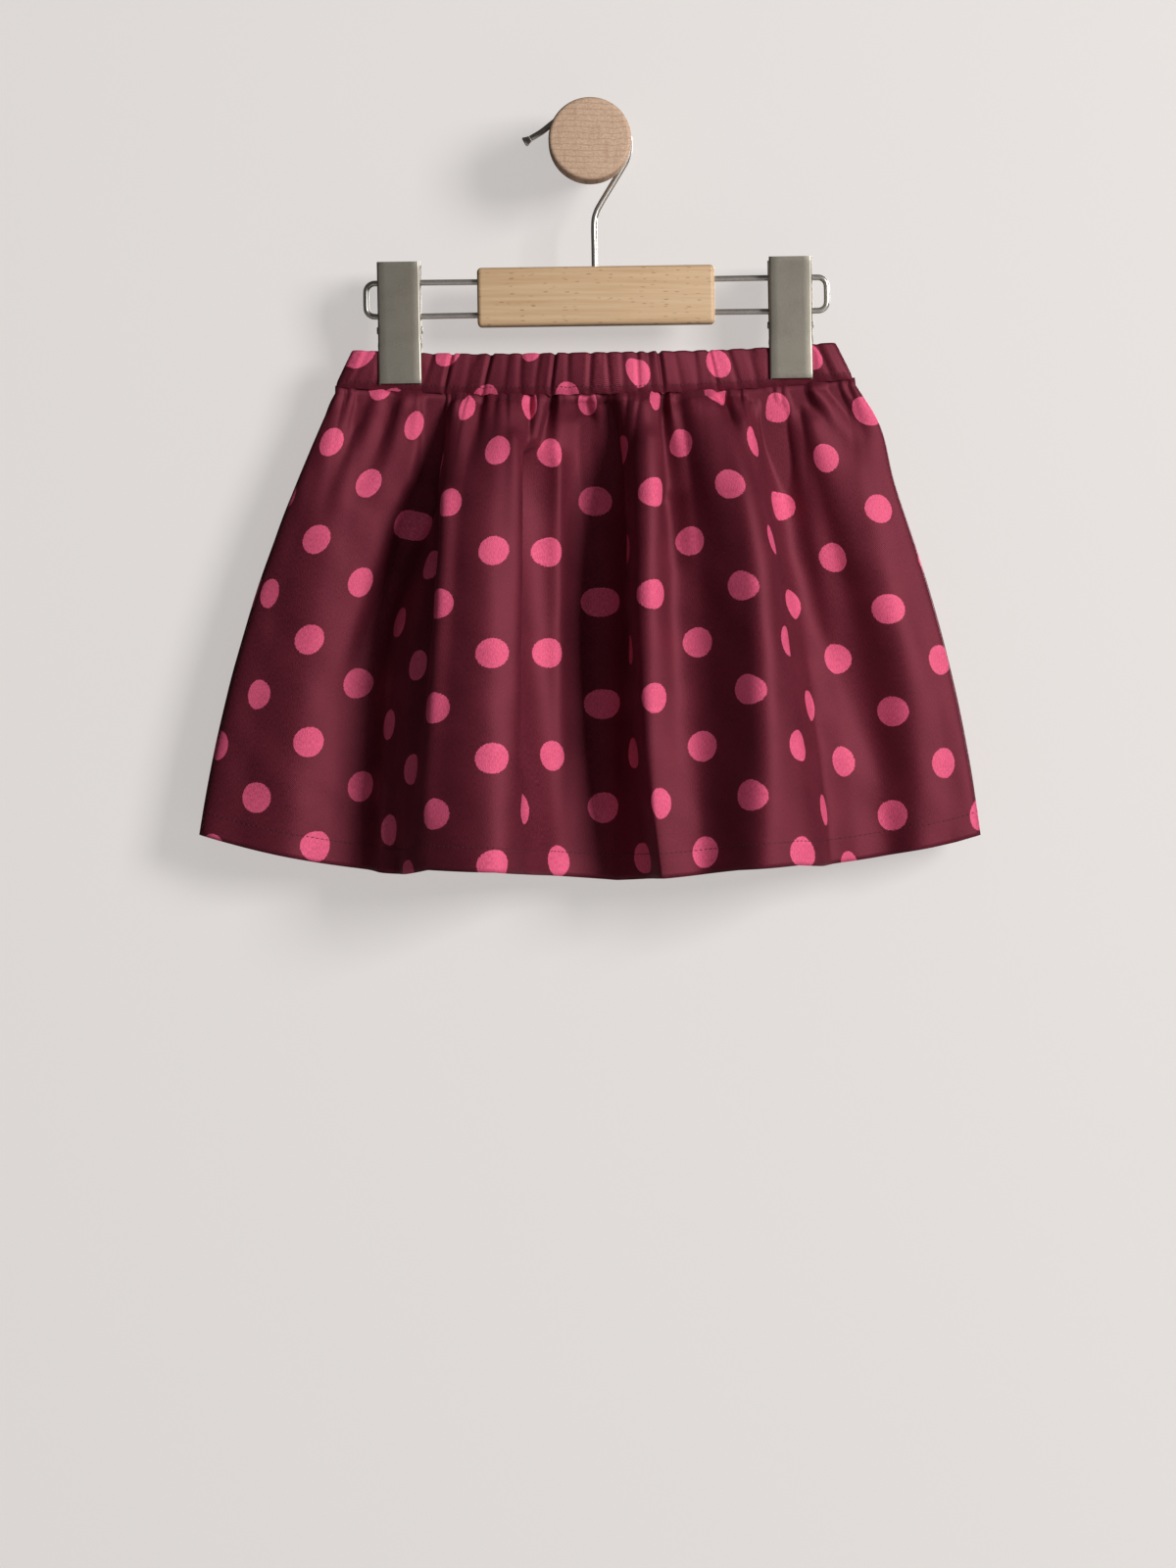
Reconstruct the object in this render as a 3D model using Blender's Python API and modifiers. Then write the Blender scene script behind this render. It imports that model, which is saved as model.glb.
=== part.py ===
"""A child's gathered pull-on skirt on a clip hanger, hung over a wooden wall peg.

Metres, +Z up. The origin is the centre of the peg's back face, +Y points into the wall, and +X is to
the right of someone who faces the wall. The skirt is a flattened tube: its rings are smooth closed
curves through fold lines, which run from the waist seam down to the hem.
"""

import math
from functools import lru_cache

import bmesh
import bpy
from mathutils import Vector

MM = 0.001
SEAM_GAP = 0.3  # between pieces that are sewn or rest together, in mm like all sizes below

# Cloth
PANEL_WALL = 1.4
BAND_WALL = 3.0
HANG_DEPTH = 30.0  # the hanger's plane stands this far off the wall
HEM_DEPTH = 32.0  # the side seams stand this far off the wall at the hem
HALF_HEM = 207.0
HEM_LOW = 392.5  # the hem's middle, below the origin
HEM_RISE = 24.0  # the hem's ends are this much higher than its middle
HEM_POWER = 2.6
SEAM_LOW = 134.0  # the waist seam's middle, below the origin
SEAM_RISE = 6.4
TOP_LOW = 113.0  # the waistband's top edge, below the origin
TOP_RISE = 2.6
BAND_HALF = 136.5
BAND_LEFT, BAND_RIGHT = -135.0, 138.0
BAND_TAPER = 0.93  # the top edge is narrower than the waist seam by this
SLOPE = 0.014  # the right side hangs higher than the left
PINCH = 0.3  # half the room inside the waist where a clip pinches it
MOUTH = 9.0  # how much further out each wall stands between the clips
END_BULGE = 1.6
NECK = 3.0  # the panels run straight down this far below the waist seam before they flare
ROW_POWER = 1.25  # the rows of the mesh are closer together near the waist
GATHER_POWER = 4  # how quickly the folds open out below the waist seam

# Fold lines of the front, left seam to right seam:
# x at the waist seam, half way down and at the hem, then how far it stands out at the hem.
FRONT_FOLDS = [
    (BAND_LEFT, -180, -HALF_HEM, 0),
    (-132, -166, -186, 7),
    (-124, -146, -161, 12),
    (-101, -127, -145, 6),
    (-80, -110, -126, -3),
    (-75, -98, -100, 9),
    (-70, -89, -94, 30),
    (-63, -79, -81, 46),
    (-46, -50, -50, 55),
    (-31, -32, -33, 30),
    (-18, -23, -16, 1),
    (0, 8, 10, -8),
    (16, 17, 28, 8),
    (33, 28, 37, 38),
    (44, 55, 59, 27),
    (72, 89, 91, 50),
    (86, 105, 116, 29),
    (97, 113, 125, 7),
    (103, 127, 142, 4),
    (109, 140, 159, 1),
    (126, 163, 175, 9),
    (135, 175, 192, 5),
    (BAND_RIGHT, 183, HALF_HEM, 0),
]
# Fold lines of the back, right seam to left seam: x at the hem, then how far it stands back there.
BACK_FOLDS = [
    (202, 17),
    (182, 26),
    (151, 14),
    (118, 26),
    (92, 14),
    (64, 26),
    (34, 17),
    (3, 27),
    (-28, 20),
    (-58, 26),
    (-88, 13),
    (-116, 26),
    (-147, 14),
    (-180, 26),
    (-202, 17),
]
BACK_MIDDLE = 0.88  # how wide the back's fold lines are spread half way down, as a share of the hem
FOLD_STEPS, BAND_COLUMNS = 3, 44  # mesh columns for each fold, and for half a band
FRONT_ROWS, BACK_ROWS, BAND_ROWS = 11, 9, 3

# Peg
NECK_RADIUS, NECK_LENGTH = 19.2, 37.0
TAPER_LENGTH, WALL_RADIUS = 25.0, 14.0  # the neck tapers towards the wall
HEAD_RADIUS, HEAD_LENGTH, HEAD_EDGE = 22.0, 20.0, 2.2

# Hanger, measured before it is tilted
TILT = math.radians(-0.8)
HOOK_WIRE = 1.6
HOOK_RADIUS = NECK_RADIUS + SEAM_GAP + HOOK_WIRE
HOOK_OPENS, HOOK_LEAVES = 130, -30  # degrees round the peg where the arc starts and ends
HOOK_TIP = [(-31.7, 3.8), (-25.6, 7.4), (-19.4, 12.2)]
HOOK_BEND = [(3.8, -34.0), (2.9, -36.1), (2.0, -38.9)]
STEM_X, STEM_TOP = 1.6, -43.0
CAP_RADIUS, CAP_THROAT, CAP_LENGTH = 2.6, 1.9, 3.6
BAR_SIZE = (126.6, 12.0, 31.3)
BAR_CENTRE = (2.1, -80.8)
BAR_EDGE = 2.4
HOLE_DEPTH, HOLE_CLEARANCE = 12.0, 0.3
WIRE_DEPTH = 10.0  # how far the wires go into the bar
LOOP_WIRE = 1.55
LOOP_CENTRE, LOOP_HALF = 2.35, 122.9
LOOP_HIGH, LOOP_LOW = -72.4, -90.1
LOOP_CORNER = 4.6
CLIP_CENTRES = {"left": -102.8, "right": 105.7}
CLIP_HALF = 11.0
CLIP_SHIFT = 1.6  # the tilt moves the clips' jaws this far to the right
CLIP_METAL = 1.0
# Side profile of a clip plate: z, its distance from the hanger's plane, and its flanges' depth.
CLIP_PROFILE = [
    (-62.0, 10.6, 1.2),
    (-66.0, 10.2, 2.6),
    (-80.0, 8.2, 3.2),
    (-100.0, 6.0, 2.6),
    (-106.0, 5.4, 0.7),
    (-126.3, 5.0, 0.5),
]
PIN_RADIUS, PIN_Z = 1.9, -97.6
PIN_OVERHANG = 1.3  # past the clip's sides


def clear_scene():
    for obj in list(bpy.data.objects):
        bpy.data.objects.remove(obj, do_unlink=True)


def new_collection(name):
    collection = bpy.data.collections.new(name)
    bpy.context.scene.collection.children.link(collection)
    return collection


def make_material(name, colour, roughness, metallic=0.0):
    material = bpy.data.materials.new(name)
    material.use_nodes = True
    shader = material.node_tree.nodes["Principled BSDF"]
    shader.inputs["Base Color"].default_value = (*colour, 1)
    shader.inputs["Roughness"].default_value = roughness
    shader.inputs["Metallic"].default_value = metallic
    return material


def place(name, data, material, collection, parent=None):
    obj = bpy.data.objects.new(name, data)
    data.materials.append(material)
    collection.objects.link(obj)
    obj.parent = parent
    return obj


def only_in(obj, collection):
    """Moves an object that an operator made to this collection."""
    for owner in list(obj.users_collection):
        owner.objects.unlink(obj)
    collection.objects.link(obj)


def from_bmesh(name, shape):
    mesh = bpy.data.meshes.new(name)
    shape.to_mesh(mesh)
    shape.free()
    return mesh


def between(low, high, share):
    return low + (high - low) * share


# ---------------------------------------------------------------- cloth


def seam_height(x):
    return -SEAM_LOW + SEAM_RISE * (x / BAND_HALF) ** 2 + SLOPE * x


def top_height(x):
    return -TOP_LOW + TOP_RISE * (x / BAND_HALF) ** 2 + SLOPE * x


def hem_height(x):
    return -HEM_LOW + HEM_RISE * abs(x / HALF_HEM) ** HEM_POWER


def half_depth(x, narrowed=1.0):
    """Half the room inside the flattened waist at x: pinched in the clips, open between them."""
    left, right = (CLIP_CENTRES[side] + CLIP_SHIFT for side in ("left", "right"))
    if left + CLIP_HALF < x < right - CLIP_HALF:
        share = (x - left - CLIP_HALF) / (right - left - 2 * CLIP_HALF)
        return PINCH + MOUTH * math.sin(math.pi * share) ** 2
    clip_edge = right + CLIP_HALF if x > 0 else left - CLIP_HALF
    end = narrowed * (BAND_RIGHT if x > 0 else BAND_LEFT)
    share = max(0.0, (x - clip_edge) / (end - clip_edge))
    depth = PINCH + END_BULGE * math.sin(0.5 * math.pi * share)
    round_end = min(1.0, abs(end - x) / depth)
    return depth * math.sqrt(1 - (1 - round_end) ** 2)


def through_three(top, middle, hem, down):
    """The parabola through three values, at 0, a half and 1."""
    return (
        top * (1 - down) * (1 - 2 * down)
        + middle * 4 * down * (1 - down)
        + hem * down * (2 * down - 1)
    )


def ring_controls(down):
    """The fold lines' (x, y) at this share of the way down, clockwise from above, left seam first."""
    opened = 1 - (1 - down) ** GATHER_POWER
    controls = []
    for top, middle, hem, stands_out in FRONT_FOLDS:
        start = -HANG_DEPTH - half_depth(top)
        y = between(start, -HEM_DEPTH - stands_out, opened)
        controls.append((through_three(top, middle, hem, down), y))
    for hem, stands_back in BACK_FOLDS:
        top = hem * BAND_HALF / HALF_HEM
        start = -HANG_DEPTH + half_depth(top)
        y = between(start, -HEM_DEPTH + stands_back, opened)
        controls.append((through_three(top, hem * BACK_MIDDLE, hem, down), y))
    return [Vector(point) for point in controls]


def smooth_span(points, share):
    """A centripetal Catmull-Rom curve between the middle two of four points."""
    knots = [0.0]
    for start, end in zip(points, points[1:]):
        knots.append(knots[-1] + max((end - start).length, 0.01) ** 0.5)
    at = between(knots[1], knots[2], share)
    sides = [
        points[i].lerp(points[i + 1], (at - knots[i]) / (knots[i + 1] - knots[i])) for i in range(3)
    ]
    halves = [
        sides[i].lerp(sides[i + 1], (at - knots[i]) / (knots[i + 2] - knots[i])) for i in range(2)
    ]
    return halves[0].lerp(halves[1], share)


@lru_cache(maxsize=None)
def ring(down):
    return ring_controls(down)


def ring_point(down, along):
    """A point of the ring at this share of the way down. along counts fold lines from the left seam."""
    controls = ring(down)
    span = math.floor(along)
    near = [controls[(span + i) % len(controls)] for i in (-1, 0, 1, 2)]
    return smooth_span(near, along - span)


def panel_point(row, across, rows, first, spans):
    """The inner face of a panel, which starts half a seam gap after the fold line first."""
    neck_row = 1 / rows
    down = (max(0.0, row - neck_row) / (1 - neck_row)) ** ROW_POWER
    controls = ring(down)
    last = (first + spans) % len(controls)
    start = SEAM_GAP / 2 / (controls[first + 1] - controls[first]).length
    end = SEAM_GAP / 2 / (controls[last] - controls[first + spans - 1]).length
    along = first + between(start, spans - end, across)
    point = ring_point(down, along)
    seam_x = ring_point(0.0, along).x
    hem_x = ring_point(1.0, along).x
    top = seam_height(seam_x) - SEAM_GAP / 2 - NECK * min(1.0, row / neck_row)
    z = between(top, hem_height(hem_x), down)
    return Vector((point.x, point.y, z))


def band_point(down, across, side):
    """The inner face of half the waistband. side is -1 for the front, 1 for the back."""
    share = 0.5 + 0.5 * side * math.cos(math.pi * across)
    narrowed = between(BAND_TAPER, 1.0, down)
    x = narrowed * between(BAND_LEFT, BAND_RIGHT, share)
    y = -HANG_DEPTH + side * max(half_depth(x, narrowed), SEAM_GAP / 2)
    return Vector((x, y, between(top_height(x), seam_height(x) + SEAM_GAP / 2, down)))


def cloth_sheet(name, columns, rows, point_at, wall, material, collection):
    """A grid laid over an inner face and thickened outwards. point_at takes the shares across and down."""
    shape = bmesh.new()
    bmesh.ops.create_grid(shape, x_segments=columns, y_segments=rows, size=0.5)
    for vert in shape.verts:
        across, down = round(vert.co.x + 0.5, 6), round(vert.co.y + 0.5, 6)
        vert.co = point_at(across, down) * MM
    sheet = place(name, from_bmesh(name, shape), material, collection)
    sheet.data.shade_smooth()
    solid = sheet.modifiers.new("wall", "SOLIDIFY")
    solid.thickness = wall * MM
    solid.offset = -1.0


def build_skirt(collection):
    cloth = make_material("burgundy satin", (0.075, 0.008, 0.016), 0.42)
    band = make_material("burgundy waistband", (0.07, 0.008, 0.015), 0.46)
    folds = len(FRONT_FOLDS) - 1
    back_spans = len(BACK_FOLDS) + 1
    panels = (
        ("skirt_front", 0, folds, FRONT_ROWS),
        ("skirt_back", folds, back_spans, BACK_ROWS),
    )
    for name, first, spans, rows in panels:
        cloth_sheet(
            name,
            spans * FOLD_STEPS,
            rows,
            lambda across, row, shape=(rows, first, spans): panel_point(row, across, *shape),
            PANEL_WALL,
            cloth,
            collection,
        )
    for name, side in (("waistband_front", -1), ("waistband_back", 1)):
        cloth_sheet(
            name,
            BAND_COLUMNS,
            BAND_ROWS,
            lambda across, down, side=side: band_point(down, across, side),
            BAND_WALL,
            band,
            collection,
        )


# ---------------------------------------------------------------- peg and hanger


def arc(centre, radius, start, end, steps):
    """(x, z) points round a centre, between two angles in degrees."""
    angles = (math.radians(between(start, end, step / steps)) for step in range(steps + 1))
    return [(centre[0] + radius * math.cos(a), centre[1] + radius * math.sin(a)) for a in angles]


def build_peg(collection):
    """A turned peg: its profile runs down the outer side, from the head's face to the wall."""
    back = NECK_LENGTH + HEAD_LENGTH
    rounded = arc((HEAD_RADIUS - HEAD_EDGE, back - HEAD_EDGE), HEAD_EDGE, 90, 0, 3)
    profile = [(0.0, back), *rounded, (HEAD_RADIUS, NECK_LENGTH), (NECK_RADIUS, NECK_LENGTH)]
    profile += [(NECK_RADIUS, TAPER_LENGTH), (WALL_RADIUS, 0.0), (0.0, 0.0)]
    mesh = bpy.data.meshes.new("wall_peg")
    edges = [(i, i + 1) for i in range(len(profile) - 1)]
    mesh.from_pydata([(r * MM, 0, h * MM) for r, h in profile], edges, [])
    wood = make_material("peg wood", (0.56, 0.36, 0.25), 0.55)
    peg = place("wall_peg", mesh, wood, collection)
    peg.rotation_euler.x = math.radians(90)
    turn = peg.modifiers.new("turn", "SCREW")
    turn.steps = turn.render_steps = 40
    turn.use_merge_vertices = True
    turn.merge_threshold = 0.0001


def wire(name, points, radius, material, collection, parent):
    """A round wire through points in the hanger's plane, (x, z) in mm."""
    curve = bpy.data.curves.new(name, "CURVE")
    curve.dimensions = "3D"
    curve.bevel_depth = radius * MM
    curve.bevel_resolution = 2
    curve.use_fill_caps = True
    spline = curve.splines.new("POLY")
    spline.points.add(len(points) - 1)
    for point, (x, z) in zip(spline.points, points):
        point.co = (x * MM, -HANG_DEPTH * MM, z * MM, 1)
    return place(name, curve, material, collection, parent)


def build_hook(steel, collection, hanger):
    bar_top = BAR_CENTRE[1] + BAR_SIZE[2] / 2
    route = [*HOOK_TIP, *arc((0, 0), HOOK_RADIUS, HOOK_OPENS, HOOK_LEAVES, 20), *HOOK_BEND]
    route += [(STEM_X, STEM_TOP), (STEM_X, bar_top - WIRE_DEPTH)]
    wire("hanger_hook", route, HOOK_WIRE, steel, collection, hanger)

    bpy.ops.mesh.primitive_cone_add(
        vertices=16, radius1=CAP_THROAT * MM, radius2=CAP_RADIUS * MM, depth=CAP_LENGTH * MM
    )
    cap = bpy.context.object
    cap.name = cap.data.name = "hook_cap"
    only_in(cap, collection)
    cap.data.materials.append(steel)
    (tip_x, tip_z), (next_x, next_z) = HOOK_TIP[:2]
    along = Vector((tip_x - next_x, 0, tip_z - next_z)).normalized()
    centre = Vector((tip_x, -HANG_DEPTH, tip_z)) + along * (CAP_LENGTH / 2 + SEAM_GAP)
    cap.location = centre * MM
    cap.rotation_euler = along.to_track_quat("Z", "Y").to_euler()
    cap.parent = hanger


def drill(target, name, location, axis, radius, collection):
    """A blind hole, cut by a cylinder that is centred on the target's face."""
    bpy.ops.mesh.primitive_cylinder_add(vertices=20, radius=radius * MM, depth=2 * HOLE_DEPTH * MM)
    cutter = bpy.context.object
    cutter.name = name
    only_in(cutter, collection)
    cutter.location = Vector(location) * MM
    if axis == "X":
        cutter.rotation_euler.y = math.radians(90)
    cutter.parent = target.parent
    cutter.hide_render = True
    cutter.display_type = "WIRE"
    cut = target.modifiers.new(name, "BOOLEAN")
    cut.operation = "DIFFERENCE"
    cut.object = cutter


def build_bar(collection, cutters, hanger):
    beech = make_material("beech", (0.68, 0.46, 0.27), 0.5)
    shape = bmesh.new()
    bmesh.ops.create_cube(shape, size=1.0)
    bmesh.ops.scale(shape, vec=Vector(BAR_SIZE) * MM, verts=shape.verts)
    bar = place("hanger_bar", from_bmesh("hanger_bar", shape), beech, collection, hanger)
    x, z = BAR_CENTRE
    bar.location = Vector((x, -HANG_DEPTH, z)) * MM
    edge = bar.modifiers.new("edges", "BEVEL")
    edge.width = BAR_EDGE * MM
    edge.segments = 3
    half_length, half_height = BAR_SIZE[0] / 2, BAR_SIZE[2] / 2
    radius = LOOP_WIRE + HOLE_CLEARANCE
    for side, end in (("left", x - half_length), ("right", x + half_length)):
        for level, height in (("high", LOOP_HIGH), ("low", LOOP_LOW)):
            name = f"{side}_{level}_hole"
            drill(bar, name, (end, -HANG_DEPTH, height), "X", radius, cutters)
    top = (STEM_X, -HANG_DEPTH, z + half_height)
    drill(bar, "stem_hole", top, "Z", HOOK_WIRE + HOLE_CLEARANCE, cutters)


def build_loops(steel, collection, hanger):
    """Each half of the clip wire is a U whose two legs end in the bar."""
    corner = LOOP_HALF - LOOP_CORNER
    bends = arc((corner, LOOP_HIGH - LOOP_CORNER), LOOP_CORNER, 90, 0, 6)
    bends += arc((corner, LOOP_LOW + LOOP_CORNER), LOOP_CORNER, 0, -90, 6)
    for side, sign in (("left", -1), ("right", 1)):
        inner = BAR_CENTRE[0] + sign * (BAR_SIZE[0] / 2 - WIRE_DEPTH)
        bent = [(LOOP_CENTRE + sign * out, level) for out, level in bends]
        route = [(inner, LOOP_HIGH), *bent, (inner, LOOP_LOW)]
        wire(f"wire_loop_{side}", route, LOOP_WIRE, steel, collection, hanger)


def clip_plate(name, centre_x, side, material, collection, hanger):
    """A pressed plate with a flange down each edge. side is -1 at the front, 1 at the back."""
    shape = bmesh.new()
    rows = []
    for z, distance, flange in CLIP_PROFILE:
        inner = distance - flange
        outline = [(-1, inner), (-1, distance), (1, distance), (1, inner)]
        points = [
            Vector((centre_x + end * CLIP_HALF, -HANG_DEPTH + side * y, z)) for end, y in outline
        ]
        rows.append([shape.verts.new(point * MM) for point in points])
    for above, below in zip(rows, rows[1:]):
        for i in range(len(above) - 1):
            shape.faces.new((above[i], above[i + 1], below[i + 1], below[i]))
    plate = place(name, from_bmesh(name, shape), material, collection, hanger)
    solid = plate.modifiers.new("metal", "SOLIDIFY")
    solid.thickness = CLIP_METAL * MM
    solid.offset = 0.0
    solid.use_even_offset = True


def build_clips(nickel, collection, hanger):
    for side, centre_x in CLIP_CENTRES.items():
        clip_plate(f"clip_{side}_front", centre_x, -1, nickel, collection, hanger)
        clip_plate(f"clip_{side}_back", centre_x, 1, nickel, collection, hanger)
        length = 2 * (CLIP_HALF + PIN_OVERHANG)
        bpy.ops.mesh.primitive_cylinder_add(
            vertices=16, radius=PIN_RADIUS * MM, depth=length * MM
        )
        pin = bpy.context.object
        pin.name = pin.data.name = f"clip_{side}_pin"
        only_in(pin, collection)
        pin.data.materials.append(nickel)
        pin.location = Vector((centre_x, -HANG_DEPTH, PIN_Z)) * MM
        pin.rotation_euler.y = math.radians(90)
        pin.parent = hanger


def main():
    clear_scene()
    parts = new_collection("gathered skirt on a clip hanger")
    cutters = new_collection("cutters")
    hanger = bpy.data.objects.new("hanger", None)
    parts.objects.link(hanger)
    hanger.rotation_euler.y = TILT
    steel = make_material("bright steel", (0.62, 0.61, 0.58), 0.28, 1.0)
    nickel = make_material("satin nickel", (0.42, 0.41, 0.37), 0.36, 1.0)

    build_peg(parts)
    build_hook(steel, parts, hanger)
    build_bar(parts, cutters, hanger)
    build_loops(steel, parts, hanger)
    build_clips(nickel, parts, hanger)
    build_skirt(parts)


main()
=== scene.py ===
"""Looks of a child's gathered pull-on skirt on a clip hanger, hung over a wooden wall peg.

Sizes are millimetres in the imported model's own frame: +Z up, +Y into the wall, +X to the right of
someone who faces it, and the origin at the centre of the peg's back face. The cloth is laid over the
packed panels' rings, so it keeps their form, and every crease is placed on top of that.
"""

import math

import bmesh
import bpy
import numpy as np
from mathutils import Matrix, Vector


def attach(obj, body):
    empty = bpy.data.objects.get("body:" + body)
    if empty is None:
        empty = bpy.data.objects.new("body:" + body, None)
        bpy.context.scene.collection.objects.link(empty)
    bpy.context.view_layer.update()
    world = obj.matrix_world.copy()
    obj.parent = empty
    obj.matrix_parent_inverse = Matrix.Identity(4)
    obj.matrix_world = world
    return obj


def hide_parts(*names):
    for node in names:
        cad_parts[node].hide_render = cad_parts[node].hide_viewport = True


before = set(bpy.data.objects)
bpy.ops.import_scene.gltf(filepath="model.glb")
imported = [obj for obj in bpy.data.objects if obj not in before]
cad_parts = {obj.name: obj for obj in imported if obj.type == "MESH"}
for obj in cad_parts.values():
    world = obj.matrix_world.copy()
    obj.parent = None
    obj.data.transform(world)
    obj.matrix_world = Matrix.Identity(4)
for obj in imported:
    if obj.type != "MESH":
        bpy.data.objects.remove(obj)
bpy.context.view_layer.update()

MM = 0.001
BODY = "root"

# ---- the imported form, in its own sizes

SEAM_GAP = 0.3
HANG_DEPTH = 30.0  # the hanger's plane stands this far off the wall
HEM_DEPTH = 32.0  # the side seams stand this far off the wall at the hem
HALF_HEM = 207.0
HEM_LOW, HEM_RISE, HEM_POWER = 392.5, 24.0, 2.6  # the hem's middle, and how much higher its ends are
SEAM_LOW, SEAM_RISE = 134.0, 6.4  # the same for the waist seam
BAND_HALF = 136.5
BAND_LEFT, BAND_RIGHT = -135.0, 139.6  # the right end is drawn 1.6 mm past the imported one
BAND_TAPER = 0.93  # the top edge is narrower than the waist seam by this
SLOPE = 0.014  # the right side hangs higher than the left
PINCH = 0.3  # half the room inside the waist where a clip pinches it
MOUTH = 9.0  # how much further out each wall stands between the clips
END_BULGE = 1.6  # and outside them
NECK = 3.0  # the panels run straight down this far below the waist seam before they flare
GATHER_POWER = 4  # how quickly the folds open out below the waist seam

# Fold lines of the front, left seam to right seam: x at the waist seam, half way down and at the hem,
# how far it stands out at the hem, then how many dot columns it lies from the pattern's left end
# at the same three heights.
FRONT_FOLDS = [
    (BAND_LEFT, -180, -HALF_HEM, 0, 0.85, -0.5, -1.3),
    (-132, -166, -186, 7, 1.05, 0.35, -0.35),
    (-124, -146, -161, 12, 1.45, 1.1, 0.5),
    (-101, -127, -145, 6, 2.5, 1.85, 1.0),
    (-80, -110, -126, -3, 3.7, 2.5, 1.85),
    (-75, -98, -100, 9, 4.1, 3.05, 2.95),
    (-70, -89, -94, 30, 4.5, 4.05, 4.0),
    (-63, -79, -81, 46, 5.15, 5.0, 5.0),
    (-46, -50, -50, 55, 6.1, 6.05, 6.0),
    (-31, -32, -33, 30, 7.05, 7.05, 7.05),
    (-18, -23, -16, 1, 8.05, 8.05, 8.05),
    (0, 8, 10, -8, 9.1, 9.1, 9.1),
    (16, 17, 28, 8, 9.95, 9.95, 9.95),
    (33, 28, 37, 38, 10.8, 10.8, 10.8),
    (44, 55, 59, 27, 11.95, 11.95, 11.95),
    (72, 89, 91, 50, 13.25, 13.25, 13.25),
    (86, 105, 116, 29, 14.35, 14.35, 14.35),
    (97, 113, 125, 7, 14.85, 15.2, 15.2),
    (103, 127, 142, 4, 15.15, 15.85, 16.27),
    (109, 140, 159, 1, 15.5, 16.32, 16.94),
    (126, 163, 175, 9, 16.35, 17.12, 17.5),
    (135, 175, 192, 5, 16.77, 17.6, 18.2),
    (BAND_RIGHT, 183, HALF_HEM, 0, 17.0, 18.0, 19.05),
]
# Fold lines of the back, right seam to left seam: x at the hem, how far it stands back there.
BACK_FOLDS = [
    (202, 17), (182, 26), (151, 14), (118, 26), (92, 14), (64, 26), (34, 17), (3, 27), (-28, 20),
    (-58, 26), (-88, 13), (-116, 26), (-147, 14), (-180, 26), (-202, 17),
]
BACK_MIDDLE = 0.88  # how wide these are spread half way down, as a share of the hem
BACK_COLUMNS_TOP, BACK_COLUMNS_HEM = (0.9, 17.1), (-1.2, 19.1)  # dot columns, seam to seam

TILT = math.radians(-0.8)
CLIP_CENTRES = {"left": -102.8, "right": 105.7}
CLIP_HALF = 11.0
CLIP_SHIFT = 1.6  # the tilt moves the clips' jaws this far to the right

# ---- the cloth's own sizes

TOP_LOW, TOP_RISE = 111.6, 3.8  # the soft band's top edge, 1 to 2 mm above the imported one
CLOTH_OUT = 1.0  # the cloth's face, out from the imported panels' inner face
CLOTH_THICK = 0.45
SEAM_PUFF, PUFF_DROP, PUFF_REACH = 1.2, 8.0, 6.0  # the cloth swells just below the waist seam
SEAM_RELIEF, SEAM_FADE = 0.45, 5.0  # folds have this share of their depth at that seam, then all of it
SIDE_SWELL, SWELL_HEIGHT, SWELL_REACH = 5.0, -150.0, 22.0  # the right side stands out below the band
SWELL_START, SWELL_ACROSS = 95.0, 50.0  # from this x outwards, growing over this width
PANEL_GAP = 0.75  # neither panel's face comes nearer than this to the middle of the skirt
MIDDLE_LINE = (  # (x, y) of that middle at the hem
    (-207, -32), (-196, -25), (-147, -27), (-126, -19.5), (-100, -24), (-60, -30), (-16, -22),
    (8, -15.5), (30, -24), (60, -30), (110, -28), (150, -25.5), (196, -25), (207, -32),
)
TUCKED_IN = 1.2  # the panels run up into the band's seam by this
PANEL_COLUMNS, PANEL_ROWS = 340, 112
ROW_POWER = 1.15  # the rows are closer together near the waist
CALM_COLUMNS = 6  # the folds fade out over this many columns next to a side seam
HEM_TURN = 12.0  # the hem allowance is turned up inside by this
TURN_ROWS, TURN_INSET, TURN_LIFT = 7, 1.1, 0.4  # its rows, how far inside it lies, how far above the edge
HEM_ROWS = 8  # it follows the slant of this many rows above the hem
COLUMN_PITCH, ROW_PITCH, ROW_STRETCH = 29.8, 51.74, 0.52  # between dots, along and down the cloth
FIRST_ROW = 138.3  # the first row of dots is this far below the origin
FRONT_SEED, BACK_SEED = 11, 29  # for the random gathers, waves and dents
# How far the threads of each dot column hang below the pattern's straight rows.
THREAD_DROP = (
    (-1.3, 22), (0, 22.5), (1, 20.5), (2, 16.5), (3, 11.5), (4, 7.5), (5, 3), (7, 0.5), (9, 0),
    (11, -2.5), (13, -7), (14, -5), (15, 1.5), (16.5, 4), (19.2, 4),
)
# How far the hem is lifted along its length, by the folds above it: (x, z).
HEM_LIFT = (
    (-130, 0), (-95, 0.6), (-84, 4), (-50, 4.5), (-22, 2.6), (15, 0), (45, 1.6), (78, 4.2), (108, 4.2),
    (118, 2.2), (160, 1.4), (195, 0),
)
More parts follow.
